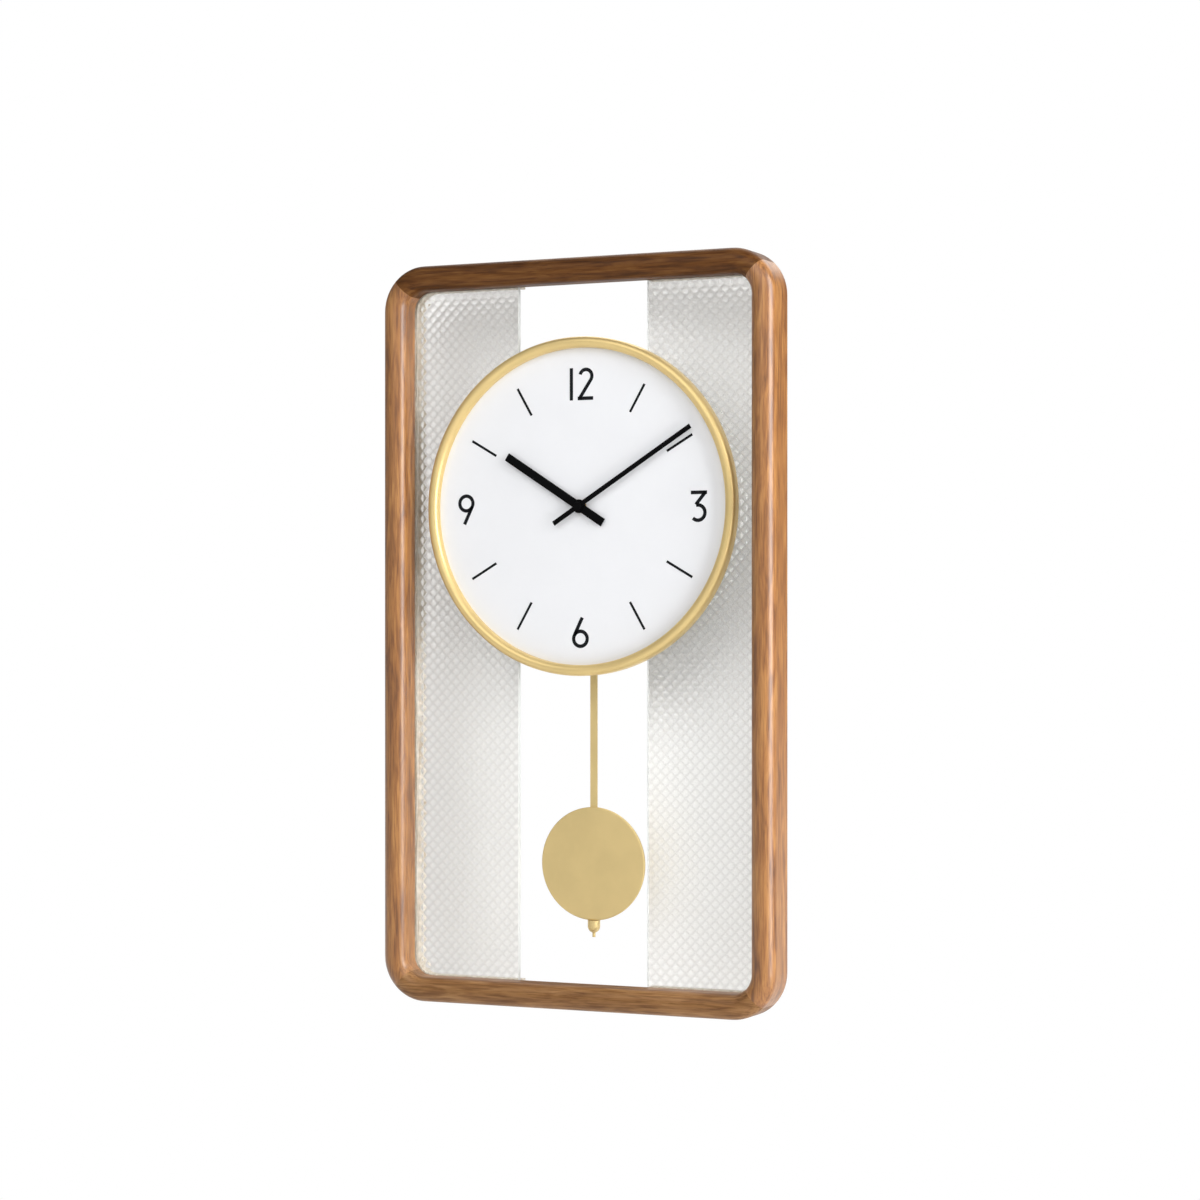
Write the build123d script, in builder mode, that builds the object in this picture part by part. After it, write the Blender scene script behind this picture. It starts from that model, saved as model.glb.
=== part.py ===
import os
from math import acos, cos, pi, radians, sin, tan

from build123d import *

os.makedirs("parts", exist_ok=True)

# Frame of reference, in millimetres: the wall is the plane Y = 0 and the clock faces -Y.
# The origin is the centre of the keyhole that the clock hangs by, X is right and Z is up.

# Overall sizes
CLOCK_WIDTH = 275.0
CLOCK_HEIGHT = 480.0
CLOCK_DEPTH = 58.0
DIAL_RISE = 81.5

# Wooden frame, as the section of one member
MEMBER_FACE = 16.0
MEMBER_DEPTH = 28.0
FRONT_RADIUS = 7.5
BACK_RADIUS = 2.5
CORNER_RADIUS = 29.0
REBATE_WIDTH = 6.0
GLASS_SETBACK = 17.0
SPLINE_LENGTH = 16.0
SPLINE_WIDTH = 8.0
SPLINE_THICKNESS = 2.5
SPLINE_SETBACK = 9.0
SPLINE_PLAY = 0.05

# Glass panes and what holds them
GLASS_THICKNESS = 4.0
PANE_GAP = 91.5
PANE_PLAY = 0.5
BEAD_PLAY = 0.2
BEAD_SCREWS_PER_SIDE = 4
BEAD_SCREW_SPACING = 110.0
BEAD_SCREW_LENGTH = 11.0
BEAD_SCREW_RADIUS = 1.25
BEAD_SCREW_HEAD_RADIUS = 2.3
BEAD_SCREW_HEAD_HEIGHT = 1.2
SCREW_PLAY = 0.02

# Dial and its ring
DIAL_DIAMETER = 205.0
DIAL_THICKNESS = 2.0
DIAL_BORE_PLAY = 0.2
RING_DIAMETER = 217.0
RING_FACE = 7.0
RING_DEPTH = 8.0
RING_PLAY = 0.2

# Studs that carry the dial and the rear case on the glass
STUD_RADIUS = 2.0
STUD_ANGLES = (30.0, 150.0, 210.0, 330.0)
STUD_HOLE_PLAY = 0.2
STUD_OVERHANG = 1.0
STUD_NUT_ACROSS = 7.0
STUD_NUT_HEIGHT = 3.2
GROMMET_WALL = 1.8
GROMMET_PLAY = 0.1
GROMMET_FLANGE_RADIUS = 6.0
GROMMET_FLANGE = 1.0

# Rear case, open towards the wall
CASE_DIAMETER = 172.0
CASE_WALL = 2.0
CASE_FLANGE = 2.5
CASE_FLANGE_CLEARANCE = 1.0
CASE_EDGE_RADIUS = 3.0
CASE_LIP_WIDTH = 6.0
CASE_LIP = 2.0
ROD_SLOT_WIDTH = 30.0
ROD_SLOT_DEPTH = 12.0

# Hanger plate, set in from the case's outside and clear of its lip
HANGER_INSET = 30.0
HANGER_CLEARANCE = 2.2
HANGER_HEIGHT = 18.0
HANGER_THICKNESS = 1.5
KEYHOLE_RADIUS = 4.5
KEYHOLE_SLOT_WIDTH = 4.4
KEYHOLE_SLOT_RISE = 6.0
HANGER_POST_RADIUS = 4.5
HANGER_RIB = 2.0
HANGER_SCREW_RADIUS = 1.5
HANGER_SCREW_HEAD_RADIUS = 2.8
HANGER_SCREW_LENGTH = 12.0

# Movement housing, heights from the dial's centre
HOUSING_WIDTH = 58.0
HOUSING_TOP = 30.0
HOUSING_BOTTOM = -56.0
HOUSING_WALL = 1.6
HOUSING_CORNER = 4.0
GASKET_THICKNESS = 0.5
GASKET_WIDTH = 10.0
EAR_REACH = 9.0
EAR_HEIGHT = 10.0
EAR_THICKNESS = 2.0
EAR_STUD_RADIUS = 1.5
EAR_STUD_INSET = 4.0
EAR_NUT_ACROSS = 5.5
EAR_NUT_HEIGHT = 2.4
EAR_STUD_OVERHANG = 0.6
LEVER_SLOT_WIDTH = 18.0
LEVER_SLOT_DEPTH = 5.0

# Wheels: faces lie in layers behind the front wall, each a face width and a gap deep
FACE_WIDTH = 1.2
LAYER_GAP = 0.5
PRESSURE_ANGLE = 20.0
TOOTH_SLACK = 0.35
PINION_ADDENDUM = 0.8
WHEEL_ADDENDUM = 0.7
DEDENDUM = 1.15
ARBOR_RADIUS = 0.5
PIVOT_PLAY = 0.06
PIVOT_DEPTH = 0.9
PIVOT_END_PLAY = 0.1
RUNNING_PLAY = 0.08

# Motion work, between the minute hand and the hour hand
MINUTE_PINION_TEETH = 12
MINUTE_WHEEL_TEETH = 36
MINUTE_WHEEL_PINION_TEETH = 10
HOUR_WHEEL_TEETH = 40
SETTING_TEETH = 18
MOTION_CENTRES = 10.0
MOTION_ANGLE = 90.0
SETTING_ANGLE = 150.0
MINUTE_ARBOR_RADIUS = 1.7
MINUTE_ARBOR_BORE = 0.75
ARBOR_FLANGE_RADIUS = 2.4
ARBOR_FLANGE = 0.25
CLUTCH_SPRING_WIDTH = 1.2
CLUTCH_SPRING_THICKNESS = 0.3
HOUR_TUBE_WALL = 0.8
BUSH_WALL = 1.3
BUSH_FLANGE_RADIUS = 5.5
BUSH_FLANGE = 0.6
BUSH_PROUD = 0.8
MINUTE_POST_RADIUS = 0.95
SETTING_SHAFT_RADIUS = 2.0
SETTING_PIVOT_RADIUS = 0.9
KNOB_RADIUS = 6.0
KNOB_HEIGHT = 5.0
KNOB_GAP = 0.5
KNOB_FLUTES = 12
KNOB_FLUTE_RADIUS = 0.9

# Going train, from the rotor to the centre wheel
ROTOR_TEETH = 12
INTERMEDIATE_TEETH = 60
INTERMEDIATE_PINION_TEETH = 10
SECOND_TEETH = 60
SECOND_PINION_TEETH = 8
THIRD_TEETH = 60
THIRD_PINION_TEETH = 8
CENTRE_TEETH = 64
ROTOR_CENTRES = 9.0
ROTOR_ANGLE = 75.0
INTERMEDIATE_CENTRES = 11.2
INTERMEDIATE_ANGLE = -10.0
THIRD_CENTRES = 10.8
THIRD_ANGLE = 190.0
ROTOR_COLUMN_RADIUS = 2.0
ROTOR_MAGNET_RADIUS = 3.0
ROTOR_MAGNET_LENGTH = 4.0
ROTOR_MAGNET_GAP = 2.6

# Stepping motor and circuit board
STATOR_THICKNESS = 1.2
STATOR_AIR_GAP = 0.6
STATOR_POLE_HEIGHT = 11.0
STATOR_LEG_SPREAD = 18.0
STATOR_LEG_WIDTH = 3.0
STATOR_LEG_RISE = 16.5
COIL_RADIUS = 2.9
COIL_LENGTH = 13.0
BOBBIN_FLANGE = 0.8
BOBBIN_WALL = 0.5
COIL_PLAY = 0.05
MOTOR_BACK_GAP = 0.4
BOARD_WIDTH = 20.0
BOARD_HEIGHT = 8.0
BOARD_THICKNESS = 1.0
BOARD_LEFT = -24.0
BOARD_RISE = 23.0
BOARD_POST_INSET = 3.0
BOARD_POST_LENGTH = 2.4
MOTOR_POST_RADIUS = 1.2

# Battery, its tray and its contacts; the battery's length is what the housing leaves for it
BATTERY_RADIUS = 7.25
BATTERY_NUB_RADIUS = 2.6
BATTERY_NUB_LENGTH = 1.0
TRAY_WALL = 1.0
TRAY_PLAY = 0.2
BATTERY_PLAY = 0.5
BATTERY_CENTRE_DROP = -22.75
CONTACT_THICKNESS = 0.4
CONTACT_WIDTH = 9.0
CONTACT_BOW = 1.4

# Pendulum drive, heights from the dial's centre
PIVOT_DROP = -37.0
PIN_RADIUS = 1.0
LEVER_HUB_RADIUS = 3.0
LEVER_WIDTH = 5.0
LEVER_THICKNESS = 2.0
LEVER_PLAY = 0.2
PIN_COLUMN_RADIUS = 2.4
MAGNET_DROP = 10.0
MAGNET_RADIUS = 4.0
MAGNET_LENGTH = 3.0
DRIVE_COIL_RADIUS = 6.8
DRIVE_COIL_BORE = 2.0
DRIVE_COIL_GAP = 1.5
HOOK_DROP = 25.0
HOOK_RADIUS = 1.0
HOOK_COLLAR_RADIUS = 1.7
HOOK_COLLAR_LENGTH = 1.7
HOOK_HEAD_RADIUS = 1.9
HOOK_HEAD = 0.6

# Pendulum
ROD_SETBACK = 35.5
ROD_WIDTH = 4.8
ROD_THICKNESS = 1.0
ROD_EYE_RADIUS = 3.5
ROD_PLAY = 0.15
BOB_DROP = -230.0
BOB_RADIUS = 36.6
BOB_CROWN = 2.2
BOB_SHEET = 1.2
BOB_RIM = 1.6
BOB_EDGE = 0.9
FINIAL_RADIUS = 4.0
FINIAL_BARREL = 3.8
FINIAL_NOSE = 4.2
FINIAL_TIP_RADIUS = 1.0
FINIAL_TIP_LENGTH = 2.8
TANG_WIDTH = 3.0
TANG_LENGTH = 4.0

# Hands: lengths from the shaft, angles clockwise from twelve
HOUR_LENGTH = 61.0
HOUR_TAIL = 20.0
HOUR_WIDTH = 5.4
HOUR_THICKNESS = 0.7
HOUR_ANGLE = 302.6
HOUR_GAP = 2.0
HOUR_HUB_RADIUS = 4.4
MINUTE_LENGTH = 92.0
MINUTE_TAIL = 20.5
MINUTE_WIDTH = 3.0
MINUTE_THICKNESS = 0.6
MINUTE_ANGLE = 57.8
MINUTE_GAP = 0.8
MINUTE_HUB_RADIUS = 3.2
HAND_PLAY = 0.02
CAP_RADIUS = 2.6
CAP_HEIGHT = 1.4
CAP_EDGE = 0.5

# Places worked out from those sizes: depths along Y
Y_FRONT = -CLOCK_DEPTH
Y_MEMBER_BACK = Y_FRONT + MEMBER_DEPTH
Y_GLASS_FRONT = Y_FRONT + GLASS_SETBACK
Y_GLASS_BACK = Y_GLASS_FRONT + GLASS_THICKNESS
Y_DIAL_FACE = Y_GLASS_FRONT - DIAL_THICKNESS
Y_CASE_FRONT = Y_GLASS_BACK + GROMMET_FLANGE
Y_CASE_SEAT = Y_CASE_FRONT + CASE_FLANGE
Y_HOUSING_FRONT = Y_GLASS_FRONT + GASKET_THICKNESS
Y_WORKS = Y_HOUSING_FRONT + HOUSING_WALL
Y_ROD = Y_FRONT + ROD_SETBACK - ROD_THICKNESS / 2
LAYER_PITCH = FACE_WIDTH + LAYER_GAP
LAYERS = [Y_WORKS + LAYER_GAP + LAYER_PITCH * layer for layer in range(6)]
Y_ROTOR_MAGNET = LAYERS[5] + FACE_WIDTH + ROTOR_MAGNET_GAP
Y_STATOR = Y_ROTOR_MAGNET + (ROTOR_MAGNET_LENGTH - STATOR_THICKNESS) / 2
Y_CORE = Y_STATOR + STATOR_THICKNESS
Y_COVER = Y_CORE + STATOR_THICKNESS / 2 + COIL_RADIUS + MOTOR_BACK_GAP
Y_HOUSING_BACK = Y_COVER + HOUSING_WALL
Y_HOUR_HAND = Y_DIAL_FACE - HOUR_GAP
Y_MINUTE_HAND = Y_HOUR_HAND - HOUR_THICKNESS - MINUTE_GAP

# Heights along Z
HANGER_RISE = CASE_DIAMETER / 2 - HANGER_INSET
Z_DIAL = -HANGER_RISE
Z_FRAME = Z_DIAL - DIAL_RISE
Z_PIVOT = Z_DIAL + PIVOT_DROP
Z_HOOK = Z_PIVOT - HOOK_DROP
Z_MAGNET = Z_PIVOT - MAGNET_DROP
Z_BOB = Z_DIAL + BOB_DROP
Z_FINIAL = Z_BOB - BOB_RADIUS
Z_BATTERY = Z_DIAL + BATTERY_CENTRE_DROP
Z_HOUSING_MIDDLE = Z_DIAL + (HOUSING_TOP + HOUSING_BOTTOM) / 2

# Widths and radii
HALF_WIDTH = CLOCK_WIDTH / 2
HALF_HEIGHT = CLOCK_HEIGHT / 2
PANE_INSET = MEMBER_FACE - REBATE_WIDTH + PANE_PLAY
BEAD_INSET = MEMBER_FACE - REBATE_WIDTH + BEAD_PLAY
RING_RADIUS = RING_DIAMETER / 2
DIAL_RADIUS = DIAL_DIAMETER / 2
CASE_RADIUS = CASE_DIAMETER / 2
FLANGE_BORE = ((HOUSING_WIDTH / 2) ** 2 + HOUSING_BOTTOM ** 2) ** 0.5 + CASE_FLANGE_CLEARANCE
STUD_CIRCLE_RADIUS = (FLANGE_BORE + CASE_RADIUS - CASE_WALL) / 2
HANGER_POST_CIRCLE = CASE_RADIUS - CASE_LIP_WIDTH - HANGER_CLEARANCE - HANGER_HEIGHT / 2
HANGER_POST_SPREAD = (HANGER_POST_CIRCLE ** 2 - HANGER_RISE ** 2) ** 0.5
HANGER_LENGTH = 2 * HANGER_POST_SPREAD + HANGER_HEIGHT
HOUR_TUBE_BORE = MINUTE_ARBOR_RADIUS + RUNNING_PLAY
HOUR_TUBE_RADIUS = HOUR_TUBE_BORE + HOUR_TUBE_WALL
BUSH_BORE = HOUR_TUBE_RADIUS + RUNNING_PLAY
BUSH_RADIUS = BUSH_BORE + BUSH_WALL
GLASS_HOLE_RADIUS = STUD_RADIUS + GROMMET_WALL + 2 * GROMMET_PLAY
EAR_X = HOUSING_WIDTH / 2 + EAR_REACH - EAR_STUD_INSET
TRAY_HALF = HOUSING_WIDTH / 2 - HOUSING_WALL - TRAY_PLAY
CONTACT_WALL = TRAY_HALF - TRAY_WALL
BATTERY_END = CONTACT_WALL - CONTACT_THICKNESS - BATTERY_NUB_LENGTH
BATTERY_LENGTH = BATTERY_END + CONTACT_WALL - CONTACT_THICKNESS - CONTACT_BOW
TRAY_HEIGHT = 2 * (BATTERY_RADIUS + BATTERY_PLAY + TRAY_WALL)
Y_BATTERY = Y_HOUSING_BACK - BATTERY_PLAY - BATTERY_RADIUS
Y_TRAY = Y_BATTERY - BATTERY_RADIUS - BATTERY_PLAY - TRAY_WALL
Y_LEVER = Y_ROD - HOOK_COLLAR_LENGTH - LEVER_THICKNESS
CORNERS = [(-1, 1), (1, 1), (1, -1), (-1, -1)]
SIDES = (-1, 1)

# Tooth sizes follow from the centre distances
MINUTE_MODULE = 2 * MOTION_CENTRES / (MINUTE_PINION_TEETH + MINUTE_WHEEL_TEETH)
HOUR_MODULE = 2 * MOTION_CENTRES / (MINUTE_WHEEL_PINION_TEETH + HOUR_WHEEL_TEETH)
THIRD_MODULE = 2 * THIRD_CENTRES / (SECOND_PINION_TEETH + THIRD_TEETH)
CENTRE_MODULE = 2 * THIRD_CENTRES / (THIRD_PINION_TEETH + CENTRE_TEETH)
SECOND_MODULE = 2 * INTERMEDIATE_CENTRES / (INTERMEDIATE_PINION_TEETH + SECOND_TEETH)
ROTOR_MODULE = 2 * ROTOR_CENTRES / (ROTOR_TEETH + INTERMEDIATE_TEETH)
SETTING_CENTRES = MINUTE_MODULE * (SETTING_TEETH + MINUTE_WHEEL_TEETH) / 2


def polar(centre, distance, angle):
    """Point at a distance and angle from a centre, in the plane of the dial."""
    return (centre[0] + distance * cos(radians(angle)), centre[1] + distance * sin(radians(angle)))


CENTRE_AXIS = (0.0, Z_DIAL)
MINUTE_WHEEL_AXIS = polar(CENTRE_AXIS, MOTION_CENTRES, MOTION_ANGLE)
SETTING_AXIS = polar(MINUTE_WHEEL_AXIS, SETTING_CENTRES, SETTING_ANGLE)
THIRD_AXIS = polar(CENTRE_AXIS, THIRD_CENTRES, THIRD_ANGLE)
INTERMEDIATE_AXIS = polar(CENTRE_AXIS, INTERMEDIATE_CENTRES, INTERMEDIATE_ANGLE)
ROTOR_AXIS = polar(INTERMEDIATE_AXIS, ROTOR_CENTRES, ROTOR_ANGLE)
PENDULUM_AXIS = (0.0, Z_PIVOT)
STUD_CENTRES = [polar(CENTRE_AXIS, STUD_CIRCLE_RADIUS, angle) for angle in STUD_ANGLES]
COIL_AXIS_Z = ROTOR_AXIS[1] + STATOR_LEG_RISE - STATOR_LEG_WIDTH / 2


def facing(x, y, z):
    """Plane square to the depth axis, looking out of the clock's front."""
    return Plane(origin=(x, y, z), x_dir=(1, 0, 0), z_dir=(0, -1, 0))


def disc(axis, radius, y_front, y_back, bore=0.0, mode=Mode.ADD):
    """Round bar or tube along the depth axis, for the part being built."""
    with BuildSketch(facing(axis[0], y_back, axis[1])) as section:
        Circle(radius)
        if bore > 0:
            Circle(bore, mode=Mode.SUBTRACT)
    extrude(section.sketch, amount=y_back - y_front, mode=mode)


def block(x_low, x_high, z_low, z_high, y_front, y_back, mode=Mode.ADD):
    """Rectangular block between given sides, for the part being built."""
    with BuildSketch(facing((x_low + x_high) / 2, y_back, (z_low + z_high) / 2)) as section:
        Rectangle(x_high - x_low, z_high - z_low)
    extrude(section.sketch, amount=y_back - y_front, mode=mode)


def hexagon(axis, across, bore, y_front, y_back):
    """Hexagon nut along the depth axis, for the part being built."""
    with BuildSketch(facing(axis[0], y_back, axis[1])) as section:
        RegularPolygon(across / 2, 6, major_radius=False)
        Circle(bore, mode=Mode.SUBTRACT)
    extrude(section.sketch, amount=y_back - y_front)


def turned(axis_x, axis_z, points, direction=(0, 1, 0), origin_y=0.0):
    """Solid turned about a line through the point, from (radius, distance along the line) points."""
    line = Vector(*direction)
    across = Vector(0, 0, 1) if line.Z == 0 else Vector(1, 0, 0)
    plane = Plane(origin=(axis_x, origin_y, axis_z), x_dir=across, z_dir=across.cross(line))
    with BuildSketch(plane) as profile:
        with BuildLine():
            Polyline(*points, close=True)
        make_face()
    revolve(profile.sketch, axis=Axis((axis_x, origin_y, axis_z), direction))


def involute(angle):
    return tan(angle) - angle


def tooth_points(teeth, module, addendum, phase):
    """Outline of a toothed wheel; a tooth is centred on the phase angle, in degrees."""
    pressure = radians(PRESSURE_ANGLE)
    pitch_radius = module * teeth / 2
    base_radius = pitch_radius * cos(pressure)
    root_radius = pitch_radius - DEDENDUM * module
    tip_radius = pitch_radius + addendum * module
    flank_start = max(base_radius, root_radius)
    half_tooth = pi / (2 * teeth) - TOOTH_SLACK * module / (2 * pitch_radius)

    def half_angle(radius):
        return half_tooth + involute(pressure) - involute(acos(base_radius / radius))

    flank = [(radius, half_angle(radius)) for radius in
             (flank_start, (flank_start + tip_radius) / 2, tip_radius)]
    if root_radius < flank_start:
        flank.insert(0, (root_radius, half_angle(flank_start)))
    points = []
    for tooth in range(teeth):
        middle = radians(phase) + 2 * pi * tooth / teeth
        rising = [(radius, middle - half) for radius, half in flank]
        falling = [(radius, middle + half) for radius, half in reversed(flank)]
        points += [(radius * cos(angle), radius * sin(angle)) for radius, angle in rising + falling]
    return points


def toothed_wheel(axis, teeth, module, addendum, phase, layer):
    """Toothed wheel filling one layer, for the part being built."""
    with BuildSketch(facing(axis[0], layer + FACE_WIDTH, axis[1])) as section:
        with BuildLine():
            Polyline(*tooth_points(teeth, module, addendum, phase), close=True)
        make_face()
    extrude(section.sketch, amount=FACE_WIDTH)


def meshing_phase(phase, teeth, mate_teeth, direction):
    """Phase at which a mate's gap meets the tooth of a wheel, along the direction to the mate."""
    return direction + 180 - (phase - direction) * teeth / mate_teeth - 180 / mate_teeth


MINUTE_PINION_PHASE = MOTION_ANGLE
MINUTE_WHEEL_PHASE = meshing_phase(
    MINUTE_PINION_PHASE, MINUTE_PINION_TEETH, MINUTE_WHEEL_TEETH, MOTION_ANGLE)
SETTING_PHASE = meshing_phase(
    MINUTE_WHEEL_PHASE, MINUTE_WHEEL_TEETH, SETTING_TEETH, SETTING_ANGLE)
HOUR_WHEEL_PHASE = meshing_phase(
    MOTION_ANGLE, MINUTE_WHEEL_PINION_TEETH, HOUR_WHEEL_TEETH, MOTION_ANGLE + 180)
INTERMEDIATE_PHASE = meshing_phase(
    ROTOR_ANGLE, ROTOR_TEETH, INTERMEDIATE_TEETH, ROTOR_ANGLE + 180)
SECOND_PHASE = meshing_phase(
    INTERMEDIATE_ANGLE, INTERMEDIATE_PINION_TEETH, SECOND_TEETH, INTERMEDIATE_ANGLE + 180)
THIRD_PHASE = meshing_phase(THIRD_ANGLE, SECOND_PINION_TEETH, THIRD_TEETH, THIRD_ANGLE)
CENTRE_PHASE = meshing_phase(THIRD_ANGLE, THIRD_PINION_TEETH, CENTRE_TEETH, THIRD_ANGLE + 180)


def frame_member(side_angle, first, second):
    """One frame member with mitred ends, clockwise between two corners of the frame."""
    centres = [(x * (HALF_WIDTH - CORNER_RADIUS), z * (HALF_HEIGHT - CORNER_RADIUS))
               for x, z in (first, second)]
    with BuildLine(facing(0, Y_FRONT, Z_FRAME)) as path:
        CenterArc(centres[0], CORNER_RADIUS, side_angle + 45, -45)
        Line(*[polar(centre, CORNER_RADIUS, side_angle) for centre in centres])
        CenterArc(centres[1], CORNER_RADIUS, side_angle, -45)
    wire = path.wire()
    start = radians(side_angle + 45)
    section_plane = Plane(origin=wire @ 0, x_dir=(-cos(start), 0, -sin(start)), z_dir=wire % 0)
    seat = MEMBER_FACE - REBATE_WIDTH
    with BuildSketch(section_plane) as section:
        with BuildLine():
            CenterArc((FRONT_RADIUS, FRONT_RADIUS), FRONT_RADIUS, 180, 90)
            Line((FRONT_RADIUS, 0), (MEMBER_FACE - FRONT_RADIUS, 0))
            CenterArc((MEMBER_FACE - FRONT_RADIUS, FRONT_RADIUS), FRONT_RADIUS, 270, 90)
            Polyline((MEMBER_FACE, FRONT_RADIUS), (MEMBER_FACE, GLASS_SETBACK), (seat, GLASS_SETBACK),
                     (seat, MEMBER_DEPTH), (BACK_RADIUS, MEMBER_DEPTH))
            CenterArc((BACK_RADIUS, MEMBER_DEPTH - BACK_RADIUS), BACK_RADIUS, 90, 90)
            Line((0, MEMBER_DEPTH - BACK_RADIUS), (0, FRONT_RADIUS))
        make_face()
    sweep(section.sketch, path=wire)


def spline_plates(play, mode=Mode.ADD):
    """Flat plates across the four mitres, or the slots that they fill."""
    middle = CORNER_RADIUS - MEMBER_FACE / 2
    y_back = Y_FRONT + SPLINE_SETBACK + SPLINE_THICKNESS + play
    with BuildSketch(facing(0, y_back, Z_FRAME)) as plates:
        for x, z in CORNERS:
            centre = (x * (HALF_WIDTH - CORNER_RADIUS), z * (HALF_HEIGHT - CORNER_RADIUS))
            angle = 45 * x * z
            with Locations((centre[0] + x * middle * cos(pi / 4), centre[1] + z * middle * sin(pi / 4))):
                Rectangle(SPLINE_WIDTH + 2 * play, SPLINE_LENGTH + 2 * play, rotation=angle)
    extrude(plates.sketch, amount=SPLINE_THICKNESS + 2 * play, mode=mode)


def bead_screw_heights():
    middle = (BEAD_SCREWS_PER_SIDE - 1) / 2
    return [Z_FRAME + (row - middle) * BEAD_SCREW_SPACING for row in range(BEAD_SCREWS_PER_SIDE)]


def bead_screw(side, height, play, mode=Mode.ADD):
    """Countersunk screw from a bead's inner face into the stile, or the hole for it."""
    y_middle = (Y_GLASS_BACK + Y_MEMBER_BACK) / 2
    start = Vector(side * (HALF_WIDTH - MEMBER_FACE), y_middle, height)
    plane = Plane(origin=start, x_dir=(side, 0, 0), z_dir=(0, 0, side))
    head = BEAD_SCREW_HEAD_RADIUS + play
    shank = BEAD_SCREW_RADIUS + play
    end = BEAD_SCREW_LENGTH + play
    with BuildSketch(plane) as profile:
        with BuildLine():
            Polyline((0, 0), (0, head), (BEAD_SCREW_HEAD_HEIGHT, shank), (end - shank, shank), (end, 0),
                     close=True)
        make_face()
    revolve(profile.sketch, axis=Axis(start, (side, 0, 0)), mode=mode)


def pane(side):
    """Glass pane: the frame's outline drawn in, on one side of the open strip."""
    with BuildSketch(facing(0, Y_GLASS_BACK, Z_FRAME)) as outline:
        RectangleRounded(CLOCK_WIDTH - 2 * PANE_INSET, CLOCK_HEIGHT - 2 * PANE_INSET,
                         CORNER_RADIUS - PANE_INSET)
        with Locations((side * (PANE_GAP + CLOCK_WIDTH) / 2, 0)):
            Rectangle(CLOCK_WIDTH, CLOCK_HEIGHT, mode=Mode.INTERSECT)
        for x, z in STUD_CENTRES:
            with Locations((x, z - Z_FRAME)):
                Circle(GLASS_HOLE_RADIUS, mode=Mode.SUBTRACT)
    extrude(outline.sketch, amount=GLASS_THICKNESS)


def bead(side):
    """Strip that holds a pane in its rebate, with its screw holes."""
    with BuildSketch(facing(0, Y_MEMBER_BACK, Z_FRAME)) as outline:
        RectangleRounded(CLOCK_WIDTH - 2 * BEAD_INSET, CLOCK_HEIGHT - 2 * BEAD_INSET,
                         CORNER_RADIUS - BEAD_INSET)
        RectangleRounded(CLOCK_WIDTH - 2 * MEMBER_FACE, CLOCK_HEIGHT - 2 * MEMBER_FACE,
                         CORNER_RADIUS - MEMBER_FACE, mode=Mode.SUBTRACT)
        with Locations((side * (PANE_GAP + CLOCK_WIDTH) / 2, 0)):
            Rectangle(CLOCK_WIDTH, CLOCK_HEIGHT, mode=Mode.INTERSECT)
    extrude(outline.sketch, amount=Y_MEMBER_BACK - Y_GLASS_BACK)
    for height in bead_screw_heights():
        bead_screw(side, height, SCREW_PLAY, mode=Mode.SUBTRACT)


# Frame members
with BuildPart() as top_rail:
    frame_member(90, CORNERS[0], CORNERS[1])
    spline_plates(SPLINE_PLAY, mode=Mode.SUBTRACT)
top_rail.part.label = "frame_top_rail"
export_step(top_rail.part, "parts/frame_top_rail.step")

with BuildPart() as right_stile:
    frame_member(0, CORNERS[1], CORNERS[2])
    spline_plates(SPLINE_PLAY, mode=Mode.SUBTRACT)
    for screw_height in bead_screw_heights():
        bead_screw(1, screw_height, SCREW_PLAY, mode=Mode.SUBTRACT)
right_stile.part.label = "frame_right_stile"
export_step(right_stile.part, "parts/frame_right_stile.step")

with BuildPart() as bottom_rail:
    frame_member(-90, CORNERS[2], CORNERS[3])
    spline_plates(SPLINE_PLAY, mode=Mode.SUBTRACT)
bottom_rail.part.label = "frame_bottom_rail"
export_step(bottom_rail.part, "parts/frame_bottom_rail.step")

with BuildPart() as left_stile:
    frame_member(180, CORNERS[3], CORNERS[0])
    spline_plates(SPLINE_PLAY, mode=Mode.SUBTRACT)
    for screw_height in bead_screw_heights():
        bead_screw(-1, screw_height, SCREW_PLAY, mode=Mode.SUBTRACT)
left_stile.part.label = "frame_left_stile"
export_step(left_stile.part, "parts/frame_left_stile.step")

with BuildPart() as corner_splines:
    spline_plates(0)
corner_splines.part.label = "corner_splines"
export_step(corner_splines.part, "parts/corner_splines.step")

# Glass and glazing
with BuildPart() as glass_pane_left:
    pane(-1)
glass_pane_left.part.label = "glass_pane_left"
export_step(glass_pane_left.part, "parts/glass_pane_left.step")

with BuildPart() as glass_pane_right:
    pane(1)
glass_pane_right.part.label = "glass_pane_right"
export_step(glass_pane_right.part, "parts/glass_pane_right.step")

with BuildPart() as glazing_bead_left:
    bead(-1)
glazing_bead_left.part.label = "glazing_bead_left"
export_step(glazing_bead_left.part, "parts/glazing_bead_left.step")

with BuildPart() as glazing_bead_right:
    bead(1)
glazing_bead_right.part.label = "glazing_bead_right"
export_step(glazing_bead_right.part, "parts/glazing_bead_right.step")

with BuildPart() as bead_screws:
    for screw_side in SIDES:
        for screw_height in bead_screw_heights():
            bead_screw(screw_side, screw_height, 0)
bead_screws.part.label = "bead_screws"
export_step(bead_screws.part, "parts/bead_screws.step")

# Dial plate, ring and the studs behind them
with BuildPart() as dial_plate:
    disc(CENTRE_AXIS, DIAL_RADIUS, Y_DIAL_FACE, Y_GLASS_FRONT, bore=BUSH_RADIUS + DIAL_BORE_PLAY)
dial_plate.part.label = "dial_plate"
export_step(dial_plate.part, "parts/dial_plate.step")

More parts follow.
